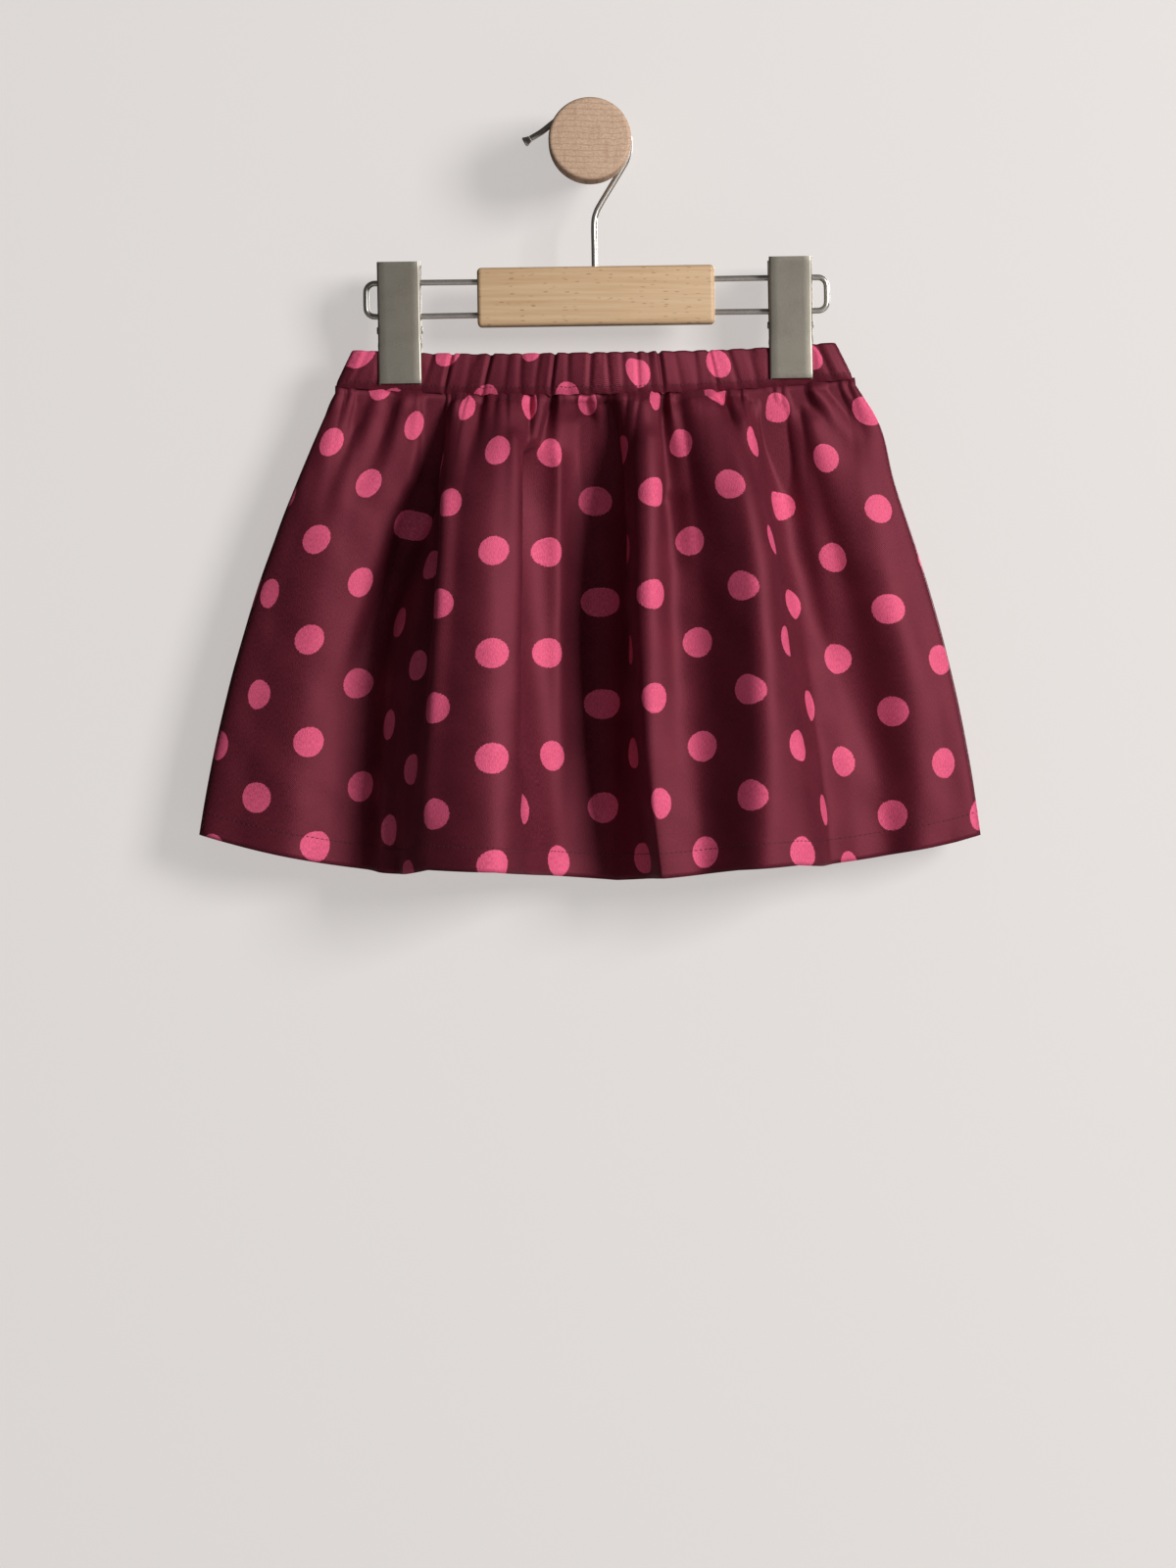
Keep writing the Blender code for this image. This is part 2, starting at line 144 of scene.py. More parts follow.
# Creases of the front: height (troughs are negative), half width at both ends, then (x, z) points.
FRONT_CREASES = [
    (3, 3, 8, [(-90, -133), (-93, -160), (-103, -195)]),
    (-9, 4, 9, [(-81, -131), (-84, -160), (-91, -200), (-101, -250)]),
    (-3, 2, 6, [(-57, -132), (-60, -150), (-66, -180)]),
    (-5.5, 2.6, 6, [(-20, -132), (-23, -158), (-28, -205)]),
    (-3.5, 2.5, 5.5, [(9, -132), (8.5, -160), (10, -205)]),
    (-8, 2.4, 6, [(39, -131), (42, -165), (46, -230)]),
    (-4.5, 2.5, 8, [(69, -131), (77, -150), (86, -175), (96, -220)]),
    (2.5, 7, 12, [(-68, -136), (-70, -165), (-75, -215)]),
    (3, 6, 10, [(-45, -136), (-46, -160), (-48, -200)]),
    (3, 7, 11, [(25, -136), (27, -160), (31, -215)]),
    (3, 8, 14, [(57, -136), (64, -165), (78, -220)]),
    (-4, 2.5, 8, [(-104, -132), (-111, -155), (-127, -195)]),
    (2.4, 4, 9, [(-97, -133), (-104, -160), (-116, -195)]),
    (-3.8, 2.5, 8, [(-119, -131), (-129, -158), (-146, -205)]),
    (-3.6, 2.5, 7, [(92, -131), (98, -150), (106, -185)]),
    (-3.8, 2.2, 7, [(112, -130), (124, -145), (143, -175)]),
    (-2.6, 1.8, 6, [(128, -130), (138, -142), (150, -158)]),
    (2.6, 4, 10, [(120, -131), (133, -158), (150, -195)]),
    (-9, 13, 16, [(0, -150), (5, -260), (10, -388)]),
    (-4, 3.5, 6, [(11, -140), (12, -220), (17, -330)]),
    (3, 6, 9, [(32, -160), (30, -240), (34, -370)]),
    (-4, 12, 11, [(37, -388), (35, -320), (32, -245)]),
    (-4, 5, 8, [(44, -190), (46, -260), (53, -370)]),
    (3.5, 6, 9, [(80, -150), (91, -230), (94, -385)]),
    (-3.5, 2.5, 3.5, [(104, -235), (110, -300), (118, -380)]),
    (-7, 7, 14, [(98, -145), (110, -215), (124, -262), (142, -308), (172, -352)]),
    (4.5, 9, 15, [(118, -152), (138, -205), (158, -260), (180, -325)]),
    (4.5, 13, 9, [(122, -388), (112, -330), (101, -250)]),
    (-6, 6, 13, [(-93, -190), (-111, -249), (-127, -290), (-143, -340)]),
    (9, 9, 6, [(-106, -388), (-101, -300), (-95, -225)]),
    (-5, 2.8, 4, [(-81, -190), (-85, -245), (-89, -300), (-99, -388)]),
    (3, 3.5, 5, [(-74, -190), (-77, -245), (-81, -300), (-89, -388)]),
    (3.5, 4, 6, [(-41, -160), (-40, -240), (-42, -388)]),
    (-15, 4, 4.5, [(-29, -165), (-31, -260), (-31, -388)]),
    (5, 6, 7, [(-18, -170), (-19, -260), (-18, -388)]),
]
# Creases of the back, in the same form.
BACK_CREASES = [
    (-4, 2.5, 8, [(118, -131), (128, -158), (145, -205)]),
    (-6, 3, 8, [(94, -131), (98, -165), (110, -225)]),
    (-4.5, 2.5, 7, [(64, -132), (67, -158), (73, -205)]),
    (-6, 3, 9, [(30, -132), (31, -170), (34, -245)]),
    (-4, 2.5, 7, [(5, -132), (4, -160), (3, -195)]),
    (-6, 3, 8, [(-26, -132), (-27, -165), (-29, -235)]),
    (-4.5, 2.5, 7, [(-57, -132), (-60, -158), (-67, -205)]),
    (-5, 3, 7, [(-84, -131), (-87, -160), (-93, -205)]),
    (-3.5, 2.5, 8, [(-113, -131), (-122, -155), (-138, -200)]),
    (3.5, 6, 12, [(80, -136), (85, -170), (100, -230)]),
    (3.5, 6, 12, [(47, -136), (50, -170), (58, -240)]),
    (3.5, 6, 12, [(-11, -136), (-12, -170), (-13, -245)]),
    (3, 6, 11, [(-71, -136), (-76, -170), (-86, -230)]),
    (-4, 6, 9, [(89, -388), (83, -320), (76, -240)]),
    (-4, 6, 9, [(33, -388), (31, -320), (29, -250)]),
    (-4, 6, 9, [(-29, -388), (-27, -310), (-25, -240)]),
    (3.5, 6, 10, [(63, -388), (58, -310), (53, -240)]),
    (3.5, 6, 10, [(-58, -388), (-53, -310), (-48, -230)]),
    (3.5, 6, 10, [(-117, -388), (-110, -320), (-100, -250)]),
    (3.5, 6, 10, [(120, -386), (112, -320), (104, -250)]),
]

# ---- small helpers


def between(low, high, share):
    return low + (high - low) * share


def through_three(top, middle, hem, down):
    """The parabola through three values, at 0, a half and 1."""
    return (
        top * (1 - down) * (1 - 2 * down)
        + middle * 4 * down * (1 - down)
        + hem * down * (2 * down - 1)
    )


def bell(offset, width):
    """1 at no offset, falling to 0 on both sides."""
    return np.exp(-((offset / width) ** 2))


def way_along(line):
    """How far along a line of points each of them lies."""
    steps = np.linalg.norm(np.diff(line, axis=0), axis=1)
    return np.concatenate([[0.0], np.cumsum(steps)])


def calm_ends(count, columns):
    """0 at both ends of a row of points, rising to 1 over some columns."""
    edge = np.minimum(np.arange(count), np.arange(count)[::-1])
    return np.clip(edge / columns, 0, 1)


def in_scene(name, data):
    """A new object in the scene, round a mesh, curve, light or camera."""
    thing = bpy.data.objects.new(name, data)
    bpy.context.scene.collection.objects.link(thing)
    return thing


def add_mesh(name, mesh, material, replaced=()):
    """Puts a finished mesh or curve on the body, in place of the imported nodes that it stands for."""
    piece = in_scene(f"{name}_look", mesh)
    mesh.materials.append(material)
    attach(piece, BODY)
    if replaced:
        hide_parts(*replaced)
    return piece


def grid_mesh(name, points, closed=False):
    """A mesh over an array of rows x columns x 3, in mm. closed joins its last row to its first."""
    rows, columns = points.shape[:2]
    index = np.arange(rows * columns).reshape(rows, columns)
    above = index if closed else index[:-1]
    below = np.roll(index, -1, axis=0) if closed else index[1:]
    faces = np.stack([above[:, :-1], above[:, 1:], below[:, 1:], below[:, :-1]], axis=-1)
    faces = faces.reshape(-1, 4)[:, ::-1]
    mesh = bpy.data.meshes.new(name)
    mesh.from_pydata((points.reshape(-1, 3) * MM).tolist(), [], faces.tolist())
    mesh.shade_smooth()
    return mesh


def mesh_of(name, shape):
    """A smooth mesh from a bmesh, which is freed."""
    mesh = bpy.data.meshes.new(name)
    shape.to_mesh(mesh)
    shape.free()
    mesh.shade_smooth()
    return mesh


def lay_pattern(mesh, across, down):
    """Stores where each point lies on the printed cloth: dot columns across and dot rows down."""
    layer = mesh.uv_layers.new(name="cloth")
    corners = np.empty(len(mesh.loops), np.int32)
    mesh.loops.foreach_get("vertex_index", corners)
    places = np.stack([across.reshape(-1), down.reshape(-1)], axis=-1)[corners]
    layer.data.foreach_set("uv", places.astype(np.float32).reshape(-1))


def normals_of(points):
    """Outward unit normals of a grid whose columns run clockwise from above and whose rows run down."""
    along = np.gradient(points, axis=1)
    down = np.gradient(points, axis=0)
    normal = np.cross(down, along)
    return normal / np.maximum(np.linalg.norm(normal, axis=-1, keepdims=True), 1e-9)


# ---- materials


class Nodes:
    """A short way to write a node tree."""

    def __init__(self, name):
        self.material = bpy.data.materials.new(name)
        self.material.use_nodes = True
        self.tree = self.material.node_tree
        self.shader = self.tree.nodes["Principled BSDF"]

    def add(self, kind, inputs=None, **settings):
        node = self.tree.nodes.new(f"ShaderNode{kind}")
        for key, value in settings.items():
            setattr(node, key, value)
        for key, value in (inputs or {}).items():
            self.set(node.inputs[key], value)
        return node

    def set(self, socket, value):
        if isinstance(value, bpy.types.NodeSocket):
            self.tree.links.new(value, socket)
        else:
            socket.default_value = value

    def place(self):
        return self.add("TexCoord").outputs["Object"]

    def maths(self, operation, *values):
        return self.add("Math", dict(enumerate(values)), operation=operation).outputs[0]

    def noise(self, where, scale, detail=2.0, roughness=0.5):
        inputs = {"Vector": where, "Scale": scale, "Detail": detail, "Roughness": roughness}
        return self.add("TexNoise", inputs).outputs["Fac"]

    def stretched(self, where, scale):
        node = self.add("Mapping", {"Vector": where, "Scale": scale})
        return node.outputs[0]

    def blend(self, share, low, high):
        """A colour between two, each a colour or a socket."""
        node = self.add("Mix", data_type="RGBA")
        for socket, value in zip((node.inputs[0], node.inputs[6], node.inputs[7]), (share, low, high)):
            self.set(socket, value)
        return node.outputs[2]

    def span(self, value, low, high, to_low=0.0, to_high=1.0):
        inputs = {0: value, 1: low, 2: high, 3: to_low, 4: to_high}
        return self.add("MapRange", inputs).outputs[0]

    def bump(self, height, strength, distance):
        inputs = {"Height": height, "Strength": strength, "Distance": distance}
        self.set(self.shader.inputs["Normal"], self.add("Bump", inputs).outputs[0])

    def finish(self, **values):
        for key, value in values.items():
            self.set(self.shader.inputs[key.replace("_", " ")], value)
        return self.material


WEAVE = 0.35  # mm between threads
TWILL_SCALE = 0.62  # gives diagonal ribs 0.7 mm apart
DOT_HALF_WIDTH, DOT_HALF_HEIGHT = 0.28, 0.145  # in dot columns and dot rows
BURGUNDY_DARK, BURGUNDY_LIGHT = (0.018, 0.0015, 0.0038, 1), (0.104, 0.0104, 0.0210, 1)
PINK_DARK, PINK_LIGHT = (0.38, 0.036, 0.092, 1), (0.76, 0.120, 0.235, 1)
STEEL_DARK, STEEL_LIGHT = (0.50, 0.465, 0.42, 1), (0.66, 0.62, 0.57, 1)
NICKEL_DARK, NICKEL_LIGHT = (0.30, 0.275, 0.228, 1), (0.40, 0.370, 0.315, 1)
RING_PITCH, RING_WANDER = 0.0031, 0.0011  # of the peg's year rings, in metres


def satin(name):
    """Burgundy satin twill with woven pink dots, in staggered columns."""
    n = Nodes(name)
    place = n.add("UVMap", uv_map="cloth").outputs[0]
    parts = n.add("SeparateXYZ", {0: place})
    column = n.maths("SNAP", parts.outputs[0], WEAVE / COLUMN_PITCH)
    row = n.maths("SNAP", parts.outputs[1], WEAVE / ROW_PITCH)
    nearest = n.maths("ROUND", column)
    off_column = n.maths("DIVIDE", n.maths("SUBTRACT", column, nearest), DOT_HALF_WIDTH)
    odd = n.maths("ABSOLUTE", n.maths("MODULO", nearest, 2.0))
    shifted = n.maths("SUBTRACT", row, n.maths("MULTIPLY_ADD", odd, -0.5, 0.5))
    off_row = n.maths("SUBTRACT", shifted, n.maths("ROUND", shifted))
    off_row = n.maths("DIVIDE", off_row, DOT_HALF_HEIGHT)
    reach = n.maths("ADD", n.maths("POWER", off_column, 2.0), n.maths("POWER", off_row, 2.0))
    threads = n.stretched(place, (COLUMN_PITCH, ROW_PITCH, 1.0))
    ragged = n.noise(threads, 1.6, 1.0)
    reach = n.maths("ADD", reach, n.span(ragged, 0.3, 0.7, -0.07, 0.07))
    dot = n.maths("LESS_THAN", reach, 1.0)

    fine = n.noise(n.stretched(threads, (1.7, 0.55, 1.0)), 1.0, 2.0, 0.7)
    cloudy = n.noise(threads, 0.05, 3.0)
    twill = n.add(
        "TexWave",
        {"Vector": threads, "Scale": TWILL_SCALE, "Distortion": 1.2, "Detail": 2.0},
        bands_direction="DIAGONAL",
    ).outputs["Fac"]
    tone = n.maths("ADD", n.span(fine, 0.36, 0.64, 0.0, 0.55), n.span(cloudy, 0.35, 0.65, 0.0, 0.2))
    tone = n.maths("MULTIPLY_ADD", twill, 0.42, tone)
    ground = n.blend(tone, BURGUNDY_DARK, BURGUNDY_LIGHT)
    spots = n.blend(tone, PINK_DARK, PINK_LIGHT)

    height = n.maths("ADD", n.maths("MULTIPLY", twill, 0.6), n.maths("MULTIPLY", fine, 0.9))
    height = n.maths("ADD", height, n.maths("MULTIPLY", dot, 0.25))
    n.bump(height, 0.5, 0.00025)
    return n.finish(
        Base_Color=n.blend(dot, ground, spots),
        Roughness=n.span(fine, 0.3, 0.7, 0.54, 0.64),
        IOR=1.6,
        Specular_IOR_Level=0.7,
        Specular_Tint=(1.0, 0.24, 0.34, 1),
        Sheen_Weight=0.06,
        Sheen_Roughness=0.5,
        Sheen_Tint=(0.80, 0.22, 0.34, 1),
    )


def thread(name):
    """Twisted sewing thread, in the colour of the ground."""
    n = Nodes(name)
    where = n.place()
    twist = n.noise(n.stretched(where, (900, 900, 2600)), 1.0, 1.0)
    n.bump(twist, 0.4, 0.0002)
    colour = n.blend(twist, (0.030, 0.0030, 0.0080, 1), (0.060, 0.0060, 0.0160, 1))
    return n.finish(Base_Color=colour, Roughness=0.6)


def beech(name):
    """Planed beech: long grain along X, with short dark flecks."""
    n = Nodes(name)
    where = n.place()
    grain = n.noise(n.stretched(where, (14, 60, 420)), 1.0, 4.0, 0.6)
    broad = n.noise(n.stretched(where, (12, 30, 60)), 1.0, 2.0)
    wood = n.blend(n.span(grain, 0.3, 0.7), (0.47, 0.300, 0.160, 1), (0.60, 0.425, 0.262, 1))
    wood = n.blend(n.span(broad, 0.4, 0.75, 0, 0.35), wood, (0.51, 0.335, 0.188, 1))
    flecks = n.add("TexVoronoi", {"Vector": n.stretched(where, (170, 170, 900)), "Scale": 1.0})
    fleck = n.maths("LESS_THAN", flecks.outputs["Distance"], 0.23)
    chosen = n.add("SeparateXYZ", {0: flecks.outputs["Color"]}).outputs[0]
    fleck = n.maths("MULTIPLY", fleck, n.span(chosen, 0.35, 0.9, 0.0, 0.75))
    n.bump(n.maths("SUBTRACT", grain, fleck), 0.25, 0.0003)
    return n.finish(
        Base_Color=n.blend(fleck, wood, (0.29, 0.150, 0.070, 1)),
        Roughness=n.span(grain, 0.3, 0.7, 0.46, 0.62),
    )


def end_grain(name):
    """The peg's wood: year rings that cross its face as wavy level lines, with fine rays and pores."""
    n = Nodes(name)
    where = n.place()
    waves = n.noise(n.stretched(where, (110, 6, 30)), 1.0, 3.0, 0.6)
    parts = n.add("SeparateXYZ", {0: where})
    level = n.maths("ADD", parts.outputs[2], n.span(waves, 0.2, 0.8, -RING_WANDER, RING_WANDER))
    rings = n.maths("FRACT", n.maths("DIVIDE", level, RING_PITCH))
    ring = n.span(rings, 0.80, 0.97)
    edge = n.span(rings, 0.97, 1.0, 1.0, 0.0)
    ring = n.maths("MULTIPLY", ring, edge)
    pores = n.noise(n.stretched(where, (900, 40, 1500)), 1.0, 2.0)
    rays = n.noise(n.stretched(where, (700, 8, 90)), 1.0, 2.0)
    wood = n.blend(n.span(pores, 0.3, 0.7), (0.42, 0.27, 0.18, 1), (0.56, 0.40, 0.285, 1))
    wood = n.blend(n.span(rays, 0.52, 0.75, 0.0, 0.45), wood, (0.36, 0.21, 0.135, 1))
    wood = n.blend(n.maths("MULTIPLY", ring, 0.62), wood, (0.29, 0.155, 0.095, 1))
    n.bump(n.maths("SUBTRACT", pores, ring), 0.3, 0.0003)
    return n.finish(Base_Color=wood, Roughness=0.62, Specular_IOR_Level=0.35)


def brushed_metal(name, dark, light, roughness, metallic):
    """Plated metal with a fine grain and a faint, broader mottle."""
    n = Nodes(name)
    where = n.place()
    grain = n.noise(where, 2600.0, 3.0)
    broad = n.noise(where, 45.0, 2.0)
    tone = n.maths("MULTIPLY_ADD", grain, 0.6, n.maths("MULTIPLY", broad, 0.4))
    return n.finish(
        Base_Color=n.blend(n.span(tone, 0.35, 0.65), dark, light),
        Metallic=metallic,
        Roughness=n.span(grain, 0.3, 0.7, roughness - 0.05, roughness + 0.07),
    )


# ---- cloth


def seam_height(x):
    return -SEAM_LOW + SEAM_RISE * (x / BAND_HALF) ** 2 + SLOPE * x


def top_height(x):
    return -TOP_LOW + TOP_RISE * (x / BAND_HALF) ** 2 + SLOPE * x


def hem_height(x):
    lift = np.interp(x, *zip(*HEM_LIFT))
    return -HEM_LOW + HEM_RISE * abs(x / HALF_HEM) ** HEM_POWER + lift


def half_depth(x):
    """Half the room inside the flattened waist at x: pinched in the clips, open between them."""
    left, right = (CLIP_CENTRES[side] + CLIP_SHIFT for side in ("left", "right"))
    if left + CLIP_HALF < x < right - CLIP_HALF:
        share = (x - left - CLIP_HALF) / (right - left - 2 * CLIP_HALF)
        return PINCH + MOUTH * math.sin(math.pi * share) ** 2
    clip_edge = right + CLIP_HALF if x > 0 else left - CLIP_HALF
    end = BAND_RIGHT if x > 0 else BAND_LEFT
    share = max(0.0, (x - clip_edge) / (end - clip_edge))
    depth = PINCH + END_BULGE * math.sin(0.5 * math.pi * share)
    round_end = min(1.0, abs(end - x) / depth)
    return depth * math.sqrt(1 - (1 - round_end) ** 2)


def ring_controls(down):
    """The fold lines' (x, y) in each row, as rows x folds x 2, clockwise from above, left seam first."""
    opened = 1 - (1 - down) ** GATHER_POWER
    controls = []
    for top, middle, hem, stands_out in (fold[:4] for fold in FRONT_FOLDS):
        y = between(-HANG_DEPTH - half_depth(top), -HEM_DEPTH - stands_out, opened)
        controls.append((through_three(top, middle, hem, down), y))
    for hem, stands_back in BACK_FOLDS:
        top = hem * BAND_HALF / HALF_HEM
        y = between(-HANG_DEPTH + half_depth(top), -HEM_DEPTH + stands_back, opened)
        controls.append((through_three(top, hem * BACK_MIDDLE, hem, down), y))
    return np.moveaxis(np.array(controls), (0, 1, 2), (1, 2, 0))


def smooth_span(points, share):
    """A centripetal Catmull-Rom curve between the middle two of four points, for whole arrays."""
    gaps = [
        np.maximum(np.linalg.norm(end - start, axis=-1, keepdims=True), 0.01) ** 0.5
        for start, end in zip(points, points[1:])
    ]
    knots = [0.0, gaps[0], gaps[0] + gaps[1], gaps[0] + gaps[1] + gaps[2]]
    at = between(knots[1], knots[2], share)
    sides = [between(points[i], points[i + 1], (at - knots[i]) / gaps[i]) for i in range(3)]
    halves = [
        between(sides[i], sides[i + 1], (at - knots[i]) / (knots[i + 2] - knots[i]))
        for i in range(2)
    ]
    return between(halves[0], halves[1], share)


def ring_points(controls, along):
    """Points of every row's ring, as rows x along x 2. along counts fold lines from the left seam."""
    span = np.floor(along).astype(int)
    near = [controls[:, (span + i) % controls.shape[1]] for i in (-1, 0, 1, 2)]
    return smooth_span(near, (along - span)[None, :, None])


SEAM_SHARE = 0.01  # a panel ends this share of a fold line's span short of the side seam
FINE_STEPS = 40  # in each span, to measure the way along it


def even_columns(controls, first, spans, count):
    """count places along the ring from one seam to the other, evenly spaced at the hem."""
    fine = np.linspace(first + SEAM_SHARE, first + spans - SEAM_SHARE, spans * FINE_STEPS)
    hem = ring_points(controls[-1:], fine)[0]
    travelled = way_along(hem)
    return np.interp(np.linspace(0, travelled[-1], count), travelled, fine)


def fold_columns(first, down):
    """The dot columns at each of a panel's fold lines, as rows x folds."""
    if first == 0:
        knots = [through_three(*fold[4:], down) for fold in FRONT_FOLDS]
        return np.stack(knots, axis=-1)
    shares = np.linspace(1, 0, len(BACK_FOLDS) + 2)
    left = between(BACK_COLUMNS_TOP[0], BACK_COLUMNS_HEM[0], down)[:, None]
    right = between(BACK_COLUMNS_TOP[1], BACK_COLUMNS_HEM[1], down)[:, None]
    return between(left, right, shares[None, :])


def columns_on(cloth, along, first, spans, down):
    """How many dot columns each grid point lies along the cloth, shared out by the way along it."""
    knots = fold_columns(first, down)
    places = np.empty(cloth.shape[:2])
    for i, line in enumerate(cloth):
        travelled = way_along(line[:, :2])
        at_folds = np.interp(np.arange(spans + 1) + first, along, travelled)
        places[i] = np.interp(travelled, at_folds, knots[i])
    return places


def rows_on(height, column):
    """How many dot rows a grid point lies down the cloth, from its height and its column's drop."""
    drop = np.interp(column, *zip(*THREAD_DROP))
    below = FIRST_ROW + height + drop
    root = np.sqrt(ROW_PITCH**2 - 4 * ROW_STRETCH * below)
    return (root - ROW_PITCH) / (2 * ROW_STRETCH)


def creases_at(creases, x, z):
    """The height of the listed troughs and ridges at each (x, z). They fade out along their length."""
    total = np.zeros_like(x)
    for height, start_width, end_width, points in creases:
        lengths = [math.dist(a, b) for a, b in zip(points, points[1:])]
        whole, gone = sum(lengths), 0.0
        nearest = np.full_like(x, np.inf)
        at = np.zeros_like(x)
        for (ax, az), (bx, bz), length in zip(points, points[1:], lengths):
            share = ((x - ax) * (bx - ax) + (z - az) * (bz - az)) / length**2
            share = np.clip(share, 0, 1)
            gap = np.hypot(x - between(ax, bx, share), z - between(az, bz, share))
            at = np.where(gap < nearest, (gone + share * length) / whole, at)
            nearest = np.minimum(gap, nearest)
            gone += length
        width = between(start_width, end_width, at)
        total += height * bell(nearest, width) * (1 - at**2)
    return total


# Spacing in dot columns, depth, length down the cloth, and half width in dot columns.
GATHER_SIZES = ((0.34, 1.7, 12.0, 0.08), (0.8, 2.4, 26.0, 0.14), (1.7, 2.8, 60.0, 0.24))
GATHERS_START, GATHERS_END = -1.5, 19.5  # in dot columns
GATHER_SHIFT = 0.4  # each pleat lies off its even place by up to this share of the spacing
GATHER_DEPTHS, GATHER_LENGTHS = (0.5, 1.25), (0.6, 1.4)  # each pleat's own share of depth and length
VALLEY_FALL, VALLEY_POWER = 1.4, 1.2  # a valley is narrower than a bell curve, with a sharper foot
CREST_SHARE, CREST_OFF = 0.18, 1.7  # the crest beside it, as shares of its depth and width
FADE_POWER = 1.3  # for how a pleat dies away down the cloth


def gathers(column, below_seam, seed):
    """Fine pleats that run down from the waist seam, each with its own depth and length."""
    random = np.random.default_rng(seed)
    total = np.zeros_like(column)
    for spacing, depth, length, width in GATHER_SIZES:
        for middle in np.arange(GATHERS_START, GATHERS_END, spacing):
            middle += random.uniform(-GATHER_SHIFT, GATHER_SHIFT) * spacing
            own_depth = depth * random.uniform(*GATHER_DEPTHS)
            own_length = length * random.uniform(*GATHER_LENGTHS)
            spread = width * (1 + below_seam / own_length)
            valley = np.exp(-VALLEY_FALL * (np.abs(column - middle) / spread) ** VALLEY_POWER)
            crest = bell(column - middle - CREST_OFF * width, spread)
            fading = np.exp(-((below_seam / own_length) ** FADE_POWER))
            total -= own_depth * (valley - CREST_SHARE * crest) * fading
    return total


WAVES = 14
WAVES_ACROSS, WAVES_DOWN = (0.25, 1.1), (0.008, 0.035)  # waves in a dot column, and in a mm down
WAVE_SIZE, WAVE_FADE = 0.7, 40.0  # they grow to this height over this way down from the waist


def slow_waves(column, height, seed):
    """Faint unevenness all over, a few centimetres across."""
    random = np.random.default_rng(seed)
    total = np.zeros_like(column)
    for _ in range(WAVES):
        across, down = random.uniform(*WAVES_ACROSS), random.uniform(*WAVES_DOWN)
        start = random.uniform(0, 6.3)
        total += np.sin(across * 2 * math.pi * column + down * height * 2 * math.pi + start)
    return total / WAVES


def panel_relief(cloth, height, column, top, creases, seed):
    """How far each point of a panel stands out from its ring."""
    below = np.maximum(top - height, 0)
    relief = creases_at(creases, cloth[..., 0], cloth[..., 2])
    relief += gathers(column, below, seed)
    relief += WAVE_SIZE * slow_waves(column, height, seed + 1) * np.clip(below / WAVE_FADE, 0, 1)
    relief *= between(SEAM_RELIEF, 1.0, np.clip(below / SEAM_FADE, 0, 1))
    return relief + SEAM_PUFF * bell(below - PUFF_DROP, PUFF_REACH)


def turned_hem(cloth, normal):
    """The hem allowance inside a panel: its rows of points, lowest first, and how far up each lies."""
    above = cloth[-1 - HEM_ROWS]
    length = float(np.mean(np.linalg.norm(cloth[-1] - above, axis=-1)))
    ways_up = [HEM_TURN * i / TURN_ROWS for i in range(TURN_ROWS + 1)]
    rows = [
        between(cloth[-1], above, way / length) - normal[-1] * TURN_INSET + (0, 0, TURN_LIFT)
        for way in ways_up
    ]
    return np.stack(rows), ways_up


def panel(name, first, spans, seed, creases, material):
    """One panel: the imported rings, finely divided, with creases, gathers and the turned-up hem."""
    down = np.concatenate([[0.0], np.linspace(0, 1, PANEL_ROWS) ** ROW_POWER])
    controls = ring_controls(down)
    along = even_columns(controls, first, spans, PANEL_COLUMNS)
    flat = ring_points(controls, along)
    top = seam_height(flat[0, :, 0]) - SEAM_GAP / 2
    hem = hem_height(flat[-1, :, 0])
    height = between(top - NECK, hem, down[:, None])
    height[0] = top + TUCKED_IN
    cloth = np.concatenate([flat, height[..., None]], axis=-1)
    column = columns_on(cloth, along, first, spans, down)
    swell = SIDE_SWELL * bell(height - SWELL_HEIGHT, SWELL_REACH)
    cloth[..., 0] += swell * np.clip((cloth[..., 0] - SWELL_START) / SWELL_ACROSS, 0, 1) ** 2

    calm = calm_ends(PANEL_COLUMNS, CALM_COLUMNS)
    relief = panel_relief(cloth, height, column, top, creases, seed)
    cloth = cloth + normals_of(cloth) * (CLOTH_OUT + relief * calm)[..., None]
    opened = 1 - (1 - down[:, None]) ** GATHER_POWER
    middle = between(-HANG_DEPTH, np.interp(flat[-1, :, 0], *zip(*MIDDLE_LINE)), opened)
    if first == 0:
        cloth[..., 1] = np.minimum(cloth[..., 1], middle - PANEL_GAP * calm)
    else:
        cloth[..., 1] = np.maximum(cloth[..., 1], middle + PANEL_GAP * calm)

    normal = normals_of(cloth)
    allowance, ways_up = turned_hem(cloth, normal)
    mesh = grid_mesh(name, np.concatenate([cloth, allowance]))
    row = rows_on(height, column)
    allowance_rows = [row[-1:] + (way + TURN_INSET) / ROW_PITCH for way in ways_up]
    allowance_columns = [column[-1:]] * len(ways_up)
    across = np.concatenate([column, *allowance_columns])
    lay_pattern(mesh, across, np.concatenate([row, *allowance_rows]))
    piece = add_mesh(name, mesh, material, [name])
    wall = piece.modifiers.new("thickness", "SOLIDIFY")
    wall.thickness = CLOTH_THICK * MM
    wall.offset = -1.0
    return piece, cloth, normal


# ---- waistband

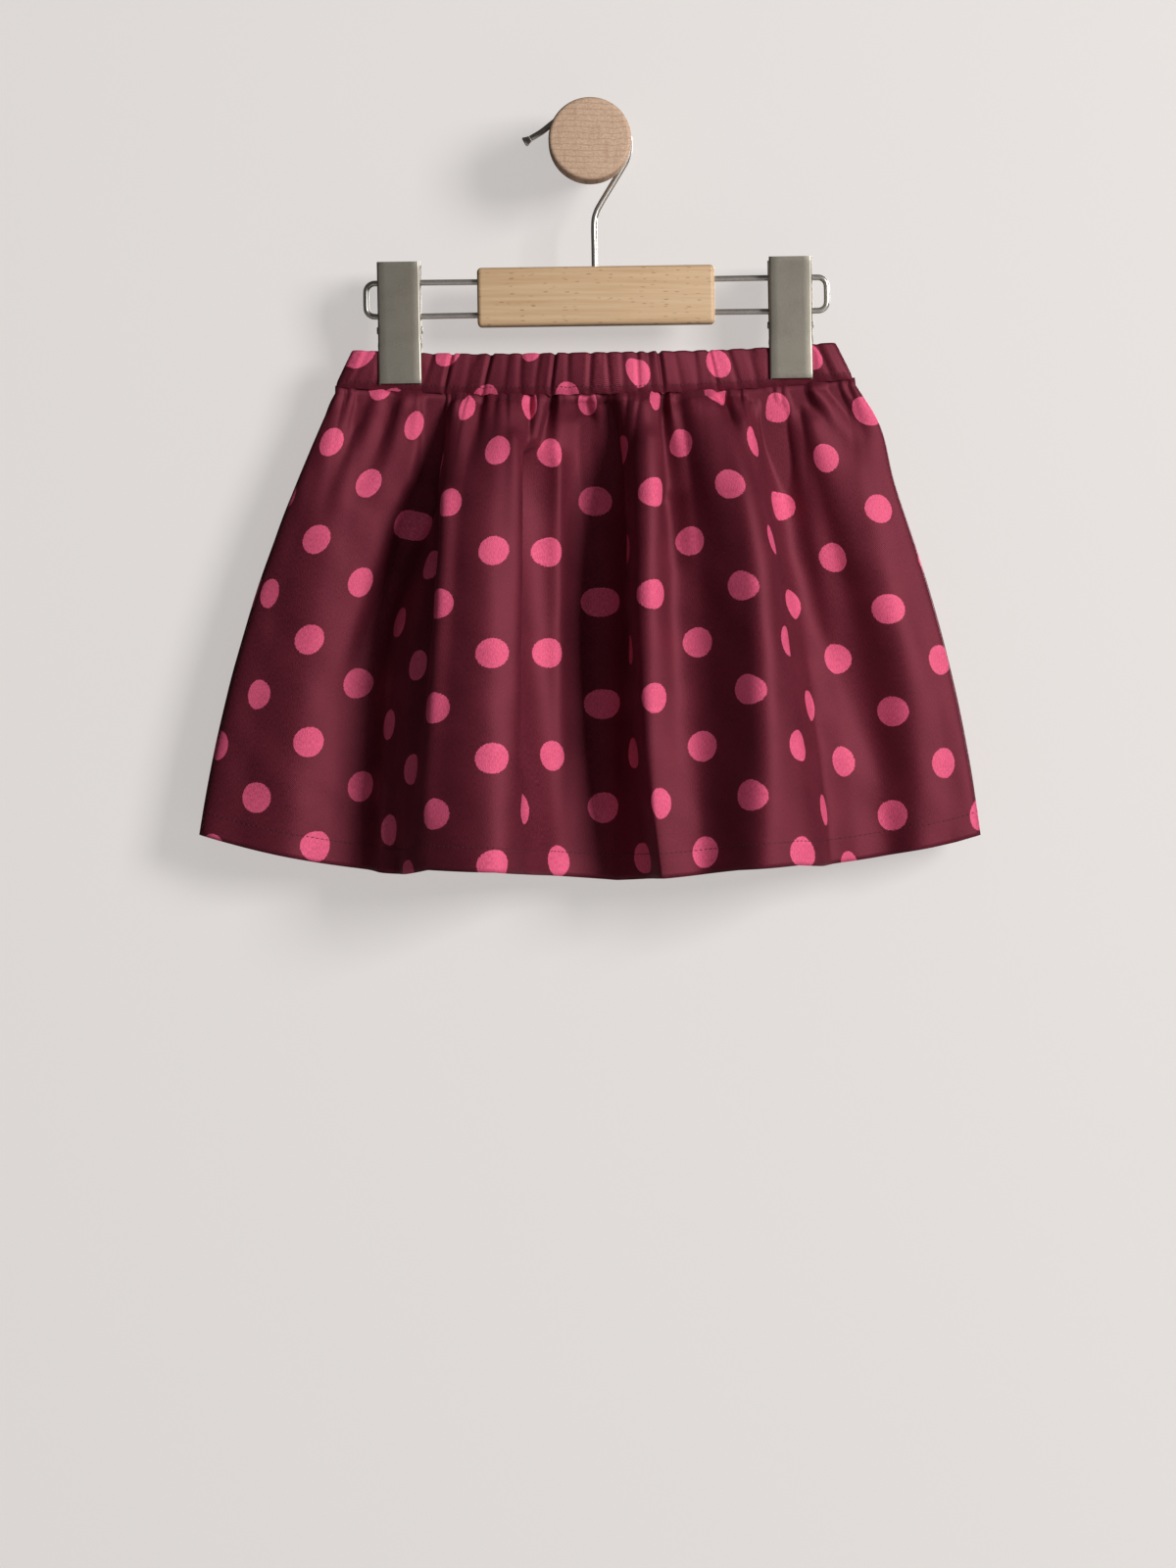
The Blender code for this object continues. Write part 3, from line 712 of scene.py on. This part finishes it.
BAND_TALL_STEPS, BAND_ROUND_STEPS = 16, 7
BAND_COLUMNS, BAND_FINE_STEPS = 330, 900  # the second only measures the way along the band
BAND_THICK, BAND_INSIDE = 3.0, 0.25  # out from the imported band's inner face: its outer and inner faces
BAND_CROWN = 0.8  # and how much further its middle swells
BAND_ROUND = 0.06  # this share of its height is rounded at the top and at the foot
BAND_CALM_COLUMNS, BAND_END = 7, 0.45  # the band thins to this share over its last columns
FOOT_THINNING, FOOT_REACH = 0.55, 0.11  # it thins at its foot, over this share of its height
CLIP_GRIP, GRIP_SLOPE = 3.4, 0.8  # the band is no thicker than this in the clips, and swells beside them
GRIP_REACH = 1.2 * CLIP_HALF
GROOVE_LEAN = 1.6  # a groove's ends lie up to this far apart
SHOULDER_SHARE, SHOULDER_WIDTH = 0.28, 3.2  # the cloth swells beside a groove, by these shares of it
DENTS = 70  # small ones, which start at the foot or at the top
DENT_REACHES, DENT_DEPTHS, DENT_WIDTHS = (0.15, 0.4), (0.15, 0.5), (1.0, 2.2)
BAND_FOOT = 0.1  # the foot lies this far above the seam
FOOT_RIPPLE, TOP_RIPPLE = 0.5, 0.35  # a groove lowers both edges by these shares of its depth
TOP_SHARE = 0.9  # above this share of the height, the face follows the top edge
INNER_SHIFT = 0.35  # the pattern on the inner face is moved by this share of a dot row
# Grooves where the elastic draws the front band in: x, depth and half width.
BAND_GROOVES = [
    (-128, 0.6, 2), (-116, 0.5, 1.8), (-90, 0.7, 2), (-78.5, 2.3, 1.3), (-67, 0.6, 2), (-56.7, 2, 1.3),
    (-46, 0.6, 1.6), (-38, 0.9, 1.8), (-29, 0.7, 1.5), (-20.3, 2.4, 1.1), (-12, 0.8, 1.6),
    (0, 1.2, 1.6), (10, 0.9, 1.5), (18, 0.6, 1.6), (26, 1.2, 1.2), (32.5, 0.7, 1.4), (39, 2.6, 1.2),
    (48, 0.6, 2), (58, 0.7, 2), (68, 1.5, 1.1), (79, 0.8, 1.8), (90, 0.6, 2), (121, 0.6, 2),
    (130, 0.8, 1.8),
]
# Where the dot columns lie along the front band, and how high the dots' row is there.
BAND_PATTERN = (
    (-150, -0.8), (-130, 0), (-105, 1), (-81.7, 2), (-55, 3), (-33.4, 4), (-12.6, 5), (-4, 5.35),
    (17, 5.62), (26, 6), (35, 6.38), (47, 7), (71, 8), (96, 9), (123, 10), (142, 10.8),
)
BAND_DOT_HEIGHT = (
    (-150, -112.5), (-78, -110.8), (-31, -108.6), (0, -109), (26, -123), (68, -117.2), (120, -112.8),
    (150, -111.5),
)


def band_centre(side):
    """x and y of evenly spaced places along the inner face of half the band."""
    share = 0.5 - 0.5 * np.cos(np.pi * np.linspace(0, 1, BAND_FINE_STEPS))
    share = share if side < 0 else share[::-1]
    x = between(BAND_LEFT, BAND_RIGHT, share)
    depth = np.array([max(half_depth(value), SEAM_GAP / 2) for value in x])
    y = -HANG_DEPTH + side * depth
    travelled = np.concatenate([[0.0], np.cumsum(np.hypot(np.diff(x), np.diff(y)))])
    even = np.linspace(0, travelled[-1], BAND_COLUMNS)
    return np.interp(even, travelled, x), np.interp(even, travelled, y)


def band_section():
    """A closed outline of the band: (out, up), both from 0 to 1, from the outer foot over the top."""
    foot, top = BAND_ROUND, 1 - BAND_ROUND
    tall = np.linspace(foot, top, BAND_TALL_STEPS)
    turn = np.linspace(0, math.pi, BAND_ROUND_STEPS + 2)[1:-1]
    over = [(0.5 + 0.5 * math.cos(a), top + BAND_ROUND * math.sin(a)) for a in turn]
    under = [(0.5 - 0.5 * math.cos(a), foot - BAND_ROUND * math.sin(a)) for a in turn]
    outer = [(1.0, up) for up in tall]
    inner = [(0.0, up) for up in tall[::-2]]
    return np.array(outer + over + inner + under)


def band_relief(x, up, grooves, seed):
    """How far the band's face stands out, or in where the elastic draws it: section points x places."""
    random = np.random.default_rng(seed)
    drawn = np.zeros((len(up), len(x)))
    for place, depth, width in grooves:
        lean = random.uniform(-GROOVE_LEAN, GROOVE_LEAN)
        off = x - (place + lean * (up - 0.5))
        drawn -= depth * bell(off, width)
        drawn += SHOULDER_SHARE * depth * bell(off, SHOULDER_WIDTH * width)
    for _ in range(DENTS):
        place, height = random.uniform(BAND_LEFT, BAND_RIGHT), random.choice([0.0, 1.0])
        reach = bell(up - height, random.uniform(*DENT_REACHES))
        depth = random.uniform(*DENT_DEPTHS)
        drawn -= depth * reach * bell(x - place, random.uniform(*DENT_WIDTHS))
    return drawn


def band(name, side, grooves, seed, material):
    """Half the waistband: a soft flat tube of cloth, drawn in by the elastic."""
    x, y = band_centre(side)
    along = np.stack([np.gradient(x), np.gradient(y)])
    along /= np.linalg.norm(along, axis=0)
    outward = np.stack([along[1], -along[0]])
    section = band_section()
    out, up = section[:, :1], section[:, 1:]
    drawn = band_relief(x, up, grooves, seed)
    crown = BAND_CROWN * np.sin(np.pi * up)
    calm = calm_ends(len(x), BAND_CALM_COLUMNS)
    foot = 1 - FOOT_THINNING * bell(up, FOOT_REACH)
    full = between(BAND_END, 1.0, calm) * foot
    thick = BAND_INSIDE + ((BAND_THICK - BAND_INSIDE) * full + (crown + drawn) * calm) * out
    taper = between(BAND_TAPER, 1.0, 1 - up)
    clips = [abs(x * taper - centre - CLIP_SHIFT) for centre in CLIP_CENTRES.values()]
    thick = np.minimum(thick, CLIP_GRIP + GRIP_SLOPE * np.maximum(0, np.min(clips, axis=0) - GRIP_REACH))
    low = seam_height(x) + BAND_FOOT + FOOT_RIPPLE * drawn[:1] * calm
    high = top_height(x) + TOP_RIPPLE * drawn.mean(axis=0) * calm
    points = np.stack(
        [
            x * taper + outward[0] * thick,
            y + outward[1] * thick,
            between(low, high, up),
        ],
        axis=-1,
    )
    points[..., 2] += TOP_RIPPLE * np.minimum(drawn, 0) * (up > TOP_SHARE) * calm
    mesh = grid_mesh(name, points, closed=True)
    flat_x = np.broadcast_to(x, drawn.shape)
    column = np.interp(flat_x if side < 0 else -flat_x, *zip(*BAND_PATTERN))
    row = (np.interp(flat_x, *zip(*BAND_DOT_HEIGHT)) - points[..., 2]) / ROW_PITCH + 0.5
    row = row + np.where(out < 0.5, INNER_SHIFT, 0.0)
    lay_pattern(mesh, column, row)
    shape = bmesh.new()
    shape.from_mesh(mesh)
    bmesh.ops.holes_fill(shape, edges=[edge for edge in shape.edges if edge.is_boundary])
    bmesh.ops.recalc_face_normals(shape, faces=shape.faces)
    shape.to_mesh(mesh)
    shape.free()
    return add_mesh(name, mesh, material, [name]), points, outward


# ---- stitches

STITCH_RADIUS, STITCH_OUT = 0.22, 0.4  # the second is how far it stands out, as a share of its radius
HEM_STITCH, BAND_STITCH = (2.8, 2.0), (2.3, 1.7)  # pitch and length
BAND_STITCH_POINT = 2  # the point of the band's section that its stitches follow


def stitches(name, line, normal, size, material):
    """A row of sewn stitches along a line of points, as one mesh of small joined capsules."""
    pitch, length = size
    travelled = way_along(line)
    shape = bmesh.new()
    for start in np.arange(pitch, travelled[-1] - pitch, pitch):
        ends = [
            Vector([np.interp(at, travelled, line[:, axis]) for axis in range(3)])
            for at in (start, start + length)
        ]
        out = Vector([np.interp(start, travelled, normal[:, axis]) for axis in range(3)])
        along = (ends[1] - ends[0]).normalized()
        middle = (ends[0] + ends[1]) / 2 + out * STITCH_RADIUS * STITCH_OUT
        matrix = Matrix.Translation(middle * MM)
        matrix @= along.to_track_quat("X", "Z").to_matrix().to_4x4()
        matrix @= Matrix.Diagonal((length / 2 * MM, STITCH_RADIUS * MM, STITCH_RADIUS * MM, 1))
        bmesh.ops.create_uvsphere(shape, u_segments=6, v_segments=4, radius=1.0, matrix=matrix)
    return add_mesh(name, mesh_of(name, shape), material)


# ---- peg and hanger

NECK_RADIUS, NECK_LENGTH = 19.2, 37.0
TAPER_LENGTH, WALL_RADIUS = 25.0, 14.0  # the neck tapers towards the wall
HEAD_RADIUS, HEAD_LENGTH, HEAD_EDGE = 22.0, 20.0, 2.2
HEAD_BACK_EDGE = 0.6  # a small bevel behind the head
PEG_STEPS, SMALL_STEPS = 96, 32  # round a turned solid
HOOK_WIRE = 1.6
HOOK_RADIUS = NECK_RADIUS + SEAM_GAP + HOOK_WIRE
HOOK_OPENS, HOOK_LEAVES = 130, -30  # degrees round the peg where the arc starts and ends
HOOK_TIP = [(-31.7, 3.8), (-25.6, 7.4), (-19.4, 12.2)]
HOOK_BEND = [(3.8, -34.0), (2.9, -36.1), (2.0, -38.9)]
STEM_X = 1.6
STEM_HEIGHTS = (-43.0, -55.0)  # the stem is straight from the first of these down
CAP_RADIUS, CAP_LENGTH = 2.6, 3.6
CAP_RIM, CAP_THROAT, CAP_FOOT = 0.5, (2.0, -0.4), HOOK_WIRE + 0.15  # throat: radius, way along the cap
BAR_SIZE = (126.6, 12.0, 31.3)
BAR_CENTRE = (2.1, -80.8)
BAR_EDGE = 2.4
BAR_EDGE_STEPS = 6
HOLE_DEPTH, HOLE_SPARE = 12.0, 2.0  # the wires end this far short of the bottom of their holes
LOOP_WIRE = 1.55
LOOP_CENTRE, LOOP_HALF = 2.35, 122.9
LOOP_HIGH, LOOP_LOW = -72.4, -90.1
LOOP_CORNER = 4.6
CLIP_METAL = 1.0
CLIP_PROFILE = [
    (-62, 10.6, 1.2), (-66, 10.2, 2.6), (-80, 8.2, 3.2), (-100, 6, 2.6), (-106, 5.4, 0.7),
    (-126.3, 5, 0.5),
]
CLIP_CORNER = 0.9
CLIP_ROWS = 24
CLIP_BEVEL, CLIP_BEVEL_ANGLE = 0.32, 50  # on edges sharper than this, in degrees
PIN_RADIUS, PIN_Z, PIN_OVERHANG = 1.9, -97.6, 1.3
PIN_EDGE = 0.4
WIRE_ROUNDNESS = 6


def hung(x, z):
    """A point in the hanger's middle plane, after it is tilted."""
    return Matrix.Rotation(TILT, 4, "Y") @ Vector((x * MM, -HANG_DEPTH * MM, z * MM))


def tilt(shape, origin=(0.0, 0.0, 0.0)):
    """Moves a bmesh made round the origin to its place on the tilted hanger."""
    x, y, z = origin
    place = Matrix.Rotation(TILT, 4, "Y") @ Matrix.Translation(Vector((x, y - HANG_DEPTH, z)) * MM)
    bmesh.ops.transform(shape, matrix=place, verts=shape.verts)


def turned(profile, steps, axis):
    """A turned solid as a bmesh. The profile is (radius, way along the axis), from end to end."""
    shape = bmesh.new()
    points = [shape.verts.new((radius * MM, 0, way * MM)) for radius, way in profile]
    edges = [shape.edges.new(pair) for pair in zip(points, points[1:])]
    whole_turn = {"angle": 2 * math.pi, "steps": steps, "axis": (0, 0, 1), "use_merge": True}
    bmesh.ops.spin(shape, geom=points + edges, **whole_turn)
    bmesh.ops.remove_doubles(shape, verts=shape.verts, dist=1e-7)
    bmesh.ops.recalc_face_normals(shape, faces=shape.faces)
    turn = Vector((0, 0, 1)).rotation_difference(Vector(axis).normalized())
    bmesh.ops.transform(shape, matrix=turn.to_matrix().to_4x4(), verts=shape.verts)
    return shape


def rounded_end(radius, way, edge):
    """Profile points of a rounded rim, from the axis outwards."""
    angles = [math.radians(step) for step in range(90, -1, -15)]
    return [(radius - edge * (1 - math.cos(a)), way - edge * (1 - math.sin(a))) for a in angles]


def finished(name, shape, material, replaced, sharp=40):
    """Puts a bmesh on the body, smooth but for edges sharper than sharp degrees."""
    mesh = mesh_of(name, shape)
    mesh.set_sharp_from_angle(angle=math.radians(sharp))
    return add_mesh(name, mesh, material, replaced)


def make_peg(material):
    back = NECK_LENGTH + HEAD_LENGTH
    profile = [(0.0, back), *rounded_end(HEAD_RADIUS, back, HEAD_EDGE)]
    profile += [(HEAD_RADIUS, NECK_LENGTH + HEAD_BACK_EDGE), (HEAD_RADIUS - HEAD_BACK_EDGE, NECK_LENGTH)]
    profile += [(NECK_RADIUS, NECK_LENGTH), (NECK_RADIUS, TAPER_LENGTH), (WALL_RADIUS, 0.0), (0.0, 0.0)]
    shape = turned(profile, PEG_STEPS, (0, -1, 0))
    return finished("peg", shape, material, ["wall_peg"])


def make_wire(name, route, radius, material, replaced):
    """A round wire through (x, z) points of the hanger's plane, along a smooth curve."""
    ends = [2 * Vector(route[0]) - Vector(route[1]), 2 * Vector(route[-1]) - Vector(route[-2])]
    points = [np.array(point) for point in (ends[0], *route, ends[1])]
    smooth = [
        smooth_span(points[i : i + 4], share)
        for i in range(len(points) - 3)
        for share in (0.0, 0.25, 0.5, 0.75)
    ]
    smooth.append(points[-2])
    curve = bpy.data.curves.new(name, "CURVE")
    curve.dimensions = "3D"
    curve.bevel_depth = radius * MM
    curve.bevel_resolution = WIRE_ROUNDNESS
    curve.use_fill_caps = True
    spline = curve.splines.new("POLY")
    spline.points.add(len(smooth) - 1)
    for point, (x, z) in zip(spline.points, smooth):
        point.co = (*hung(x, z), 1)
    spline.use_smooth = True
    return add_mesh(name, curve, material, replaced)


def arc(centre, radius, start, end, steps):
    """(x, z) points round a centre, between two angles in degrees."""
    angles = (math.radians(between(start, end, step / steps)) for step in range(steps + 1))
    return [(centre[0] + radius * math.cos(a), centre[1] + radius * math.sin(a)) for a in angles]


def make_hook(steel):
    bar_top = BAR_CENTRE[1] + BAR_SIZE[2] / 2
    route = [*HOOK_TIP, *arc((0, 0), HOOK_RADIUS, HOOK_OPENS, HOOK_LEAVES, 20), *HOOK_BEND]
    route += [(STEM_X, z) for z in (*STEM_HEIGHTS, bar_top - HOLE_DEPTH + HOLE_SPARE)]
    make_wire("hook", route, HOOK_WIRE, steel, ["hanger_hook"])

    half = CAP_LENGTH / 2
    profile = [(0.0, half), *rounded_end(CAP_RADIUS, half, CAP_RIM)]
    profile += [(CAP_RADIUS, half - 2 * CAP_RIM), CAP_THROAT, (CAP_FOOT, -half), (0.0, -half)]
    tip, following = (Vector((x, 0, z)) for x, z in HOOK_TIP[:2])
    along = (tip - following).normalized()
    centre = tip + along * (half + SEAM_GAP)
    shape = turned(profile, SMALL_STEPS, along)
    tilt(shape, centre)
    finished("hook_tip", shape, steel, ["hook_cap"])


def make_bar(material):
    shape = bmesh.new()
    bmesh.ops.create_cube(shape, size=1.0)
    bmesh.ops.scale(shape, vec=Vector(BAR_SIZE) * MM, verts=shape.verts)
    rounding = {"offset": BAR_EDGE * MM, "segments": BAR_EDGE_STEPS, "profile": 0.5, "affect": "EDGES"}
    bmesh.ops.bevel(shape, geom=shape.edges[:], **rounding)
    x, z = BAR_CENTRE
    tilt(shape, (x, 0.0, z))
    return finished("bar", shape, material, ["hanger_bar"])


def make_loops(steel):
    for side, sign in (("left", -1), ("right", 1)):
        inner = BAR_CENTRE[0] + sign * (BAR_SIZE[0] / 2 - HOLE_DEPTH + HOLE_SPARE)
        corner = LOOP_HALF - LOOP_CORNER
        high, low = LOOP_HIGH - LOOP_CORNER, LOOP_LOW + LOOP_CORNER
        bends = arc((corner, high), LOOP_CORNER, 90, 0, 6) + arc((corner, low), LOOP_CORNER, 0, -90, 6)
        route = [(inner, LOOP_HIGH)]
        route += [(LOOP_CENTRE + sign * out, level) for out, level in bends]
        route += [(inner, LOOP_LOW)]
        make_wire(f"loop_{side}", route, LOOP_WIRE, steel, [f"wire_loop_{side}"])


def clip_outline(distance, flange):
    """Half of a clip plate's bent section, mirrored: (x, y) from one flange's edge to the other's."""
    corner = min(CLIP_CORNER, flange)
    angles = [math.radians(step) for step in range(0, 91, 30)]
    half = [(CLIP_HALF, distance - flange)]
    half += [
        (CLIP_HALF - corner * (1 - math.cos(a)), distance - corner * (1 - math.sin(a)))
        for a in angles
    ]
    half += [(CLIP_HALF * share, distance) for share in (0.6, 0.25)]
    return half + [(-x, y) for x, y in reversed(half)]


def bent_plate(sign):
    """One plate of a clip as a bmesh, with its bent section at each of its heights."""
    heights, distances, flanges = (np.array(values) for values in zip(*CLIP_PROFILE))
    order = np.argsort(heights)
    shape = bmesh.new()
    rows = []
    for z in np.linspace(heights[0], heights[-1], CLIP_ROWS):
        distance = np.interp(z, heights[order], distances[order])
        flange = np.interp(z, heights[order], flanges[order])
        outline = clip_outline(distance, flange)
        rows.append([shape.verts.new(Vector((x, sign * y, z)) * MM) for x, y in outline])
    for above, below in zip(rows, rows[1:]):
        for i in range(len(above) - 1):
            shape.faces.new((above[i], above[i + 1], below[i + 1], below[i]))
    bmesh.ops.recalc_face_normals(shape, faces=shape.faces)
    return shape


def make_plate(side, place, sign, nickel):
    shape = bent_plate(sign)
    tilt(shape, (CLIP_CENTRES[side], 0.0, 0.0))
    node = f"clip_{side}_{place}"
    plate = finished(f"{node}_plate", shape, nickel, [node], sharp=60)
    metal = plate.modifiers.new("metal", "SOLIDIFY")
    metal.thickness = CLIP_METAL * MM
    metal.offset = 0.0
    metal.use_even_offset = True
    edge = plate.modifiers.new("edges", "BEVEL")
    edge.width = CLIP_BEVEL * MM
    edge.segments = 2
    edge.limit_method = "ANGLE"
    edge.angle_limit = math.radians(CLIP_BEVEL_ANGLE)


def make_pin(side, nickel):
    half = CLIP_HALF + PIN_OVERHANG
    profile = [(0.0, half), *rounded_end(PIN_RADIUS, half, PIN_EDGE)]
    profile += [(radius, -way) for radius, way in reversed(profile)]
    shape = turned(profile, SMALL_STEPS, (1, 0, 0))
    tilt(shape, (CLIP_CENTRES[side], 0.0, PIN_Z))
    finished(f"pin_{side}", shape, nickel, [f"clip_{side}_pin"])


def make_clips(nickel):
    for side in CLIP_CENTRES:
        make_plate(side, "front", -1, nickel)
        make_plate(side, "back", 1, nickel)
        make_pin(side, nickel)


# ---- studio

VIEW_PLANE, VIEW_HEIGHT = -0.045, 0.832  # the picture is this tall at the skirt's front
VIEW_DISTANCE, VIEW_X, VIEW_Z = 2.5, -0.00104, -0.3411
STAGE_HALF, FLOOR_Z = 4.0, -1.25
WALL_Y, WALL_TOP = 0.0008, 2.2
AMBIENT, BACKDROP = 0.06, 0.55  # the surroundings' light, and how bright they look where they show
WALL_GLOW = 0.555  # a share of the wall's tone is even, so that shadows on it stay faint


def painted(name, low, high, scale):
    """The nodes of a pale painted surface with a faint mottle."""
    n = Nodes(name)
    where = n.place()
    mottle = n.noise(where, scale, 2.0)
    n.finish(Base_Color=n.blend(mottle, low, high), Roughness=0.95, Specular_IOR_Level=0.1)
    return n


def stage_plane(name, corners, material):
    """A flat stage piece through corners, in metres."""
    mesh = bpy.data.meshes.new(name)
    mesh.from_pydata(corners, [], [tuple(range(len(corners)))])
    mesh.materials.append(material)
    in_scene(name, mesh)


def make_stage():
    """A pale floor, and a wall that shows from its front only and lets light through from behind."""
    sides = (-STAGE_HALF, STAGE_HALF)
    floor = painted("pale floor", (0.40, 0.39, 0.38, 1), (0.43, 0.42, 0.41, 1), 3.0)
    near, far = ([(x, y, FLOOR_Z) for x in sides] for y in sides)
    stage_plane("floor", near + far[::-1], floor.material)
    n = painted("pale wall", (0.245, 0.235, 0.228, 1), (0.26, 0.25, 0.243, 1), 1.2)
    n.finish(Emission_Color=(0.90, 0.86, 0.84, 1), Emission_Strength=WALL_GLOW)
    seen = n.add("LightPath").outputs["Is Camera Ray"]
    behind = n.add("NewGeometry").outputs["Backfacing"]
    shows = n.maths("MULTIPLY", seen, n.maths("SUBTRACT", 1.0, behind))
    clear = n.add("BsdfTransparent").outputs[0]
    mixed = n.add("MixShader", {0: shows, 1: clear, 2: n.shader.outputs[0]})
    n.tree.links.new(mixed.outputs[0], n.tree.nodes["Material Output"].inputs[0])
    foot, top = ([(x, WALL_Y, z) for x in sides] for z in (FLOOR_Z, WALL_TOP))
    stage_plane("wall", foot + top[::-1], n.material)


def area_light(name, location, target, size, watts, colour, glossy=True):
    """A square soft light. One that isn't glossy leaves no highlight."""
    light = bpy.data.lights.new(name, "AREA")
    light.size = size
    light.energy = watts
    light.color = colour
    lamp = in_scene(name, light)
    lamp.location = location
    lamp.visible_glossy = glossy
    lamp.rotation_euler = (Vector(target) - Vector(location)).to_track_quat("-Z", "Y").to_euler()


def make_lights():
    middle = (0.0, -0.04, -0.25)
    area_light("key", (2.2, -2.4, 0.6), middle, 1.1, 132.0, (1.0, 0.985, 0.975))
    area_light("fill", (0.2, -3.2, 0.7), middle, 1.6, 5.5, (1.0, 0.985, 0.98), glossy=False)
    area_light("back", (1.3, 2.6, 0.7), middle, 1.2, 60.0, (1.0, 0.985, 0.97))
    world = bpy.data.worlds.new("soft studio")
    world.use_nodes = True
    tree = world.node_tree
    background = tree.nodes["Background"]
    background.inputs["Color"].default_value = (0.90, 0.88, 0.87, 1)
    seen = tree.nodes.new("ShaderNodeLightPath").outputs["Is Camera Ray"]
    strength = tree.nodes.new("ShaderNodeMapRange")
    strength.inputs["To Min"].default_value = AMBIENT
    strength.inputs["To Max"].default_value = BACKDROP
    tree.links.new(seen, strength.inputs["Value"])
    tree.links.new(strength.outputs[0], background.inputs["Strength"])
    bpy.context.scene.world = world
    bpy.context.scene.view_settings.view_transform = "Standard"


def make_camera():
    data = bpy.data.cameras.new("camera")
    data.sensor_width = 36.0
    data.lens = data.sensor_width * VIEW_DISTANCE / VIEW_HEIGHT
    camera = in_scene("camera", data)
    camera.location = (VIEW_X, VIEW_PLANE - VIEW_DISTANCE, VIEW_Z)
    camera.rotation_euler = (math.radians(90), 0, 0)
    bpy.context.scene.camera = camera


# ---- all of it


def make_skirt():
    """The panels and the halves of the band, with their stitches."""
    cloth, sewing = satin("dotted satin"), thread("burgundy thread")
    front_spans, back_spans = len(FRONT_FOLDS) - 1, len(BACK_FOLDS) + 1
    back_grooves = [(-x, depth, width) for x, depth, width in BAND_GROOVES]
    panels = {
        "front": (0, front_spans, FRONT_SEED, FRONT_CREASES, -1, BAND_GROOVES),
        "back": (front_spans, back_spans, BACK_SEED, BACK_CREASES, 1, back_grooves),
    }
    for name, (first, spans, seed, creases, side, grooves) in panels.items():
        piece, surface, normal = panel(f"skirt_{name}", first, spans, seed, creases, cloth)
        middle_heights = surface[:, PANEL_COLUMNS // 2, 2]
        row = int(np.argmin(abs(middle_heights - middle_heights[-1] - HEM_TURN)))
        hem = stitches(f"hem_stitches_{name}", surface[row], normal[row], HEM_STITCH, sewing)
        half_band, points, outward = band(f"waistband_{name}", side, grooves, seed + 2, cloth)
        line = points[BAND_STITCH_POINT]
        out = np.concatenate([outward.T, np.zeros((len(outward.T), 1))], axis=1)
        edge = stitches(f"band_stitches_{name}", line, out, BAND_STITCH, sewing)


def main():
    steel = brushed_metal("bright steel", STEEL_DARK, STEEL_LIGHT, 0.30, 0.85)
    nickel = brushed_metal("satin nickel", NICKEL_DARK, NICKEL_LIGHT, 0.42, 0.85)
    make_skirt()
    make_peg(end_grain("peg end grain"))
    make_bar(beech("beech"))
    make_hook(steel)
    make_loops(steel)
    make_clips(nickel)
    make_stage()
    make_lights()
    make_camera()


main()
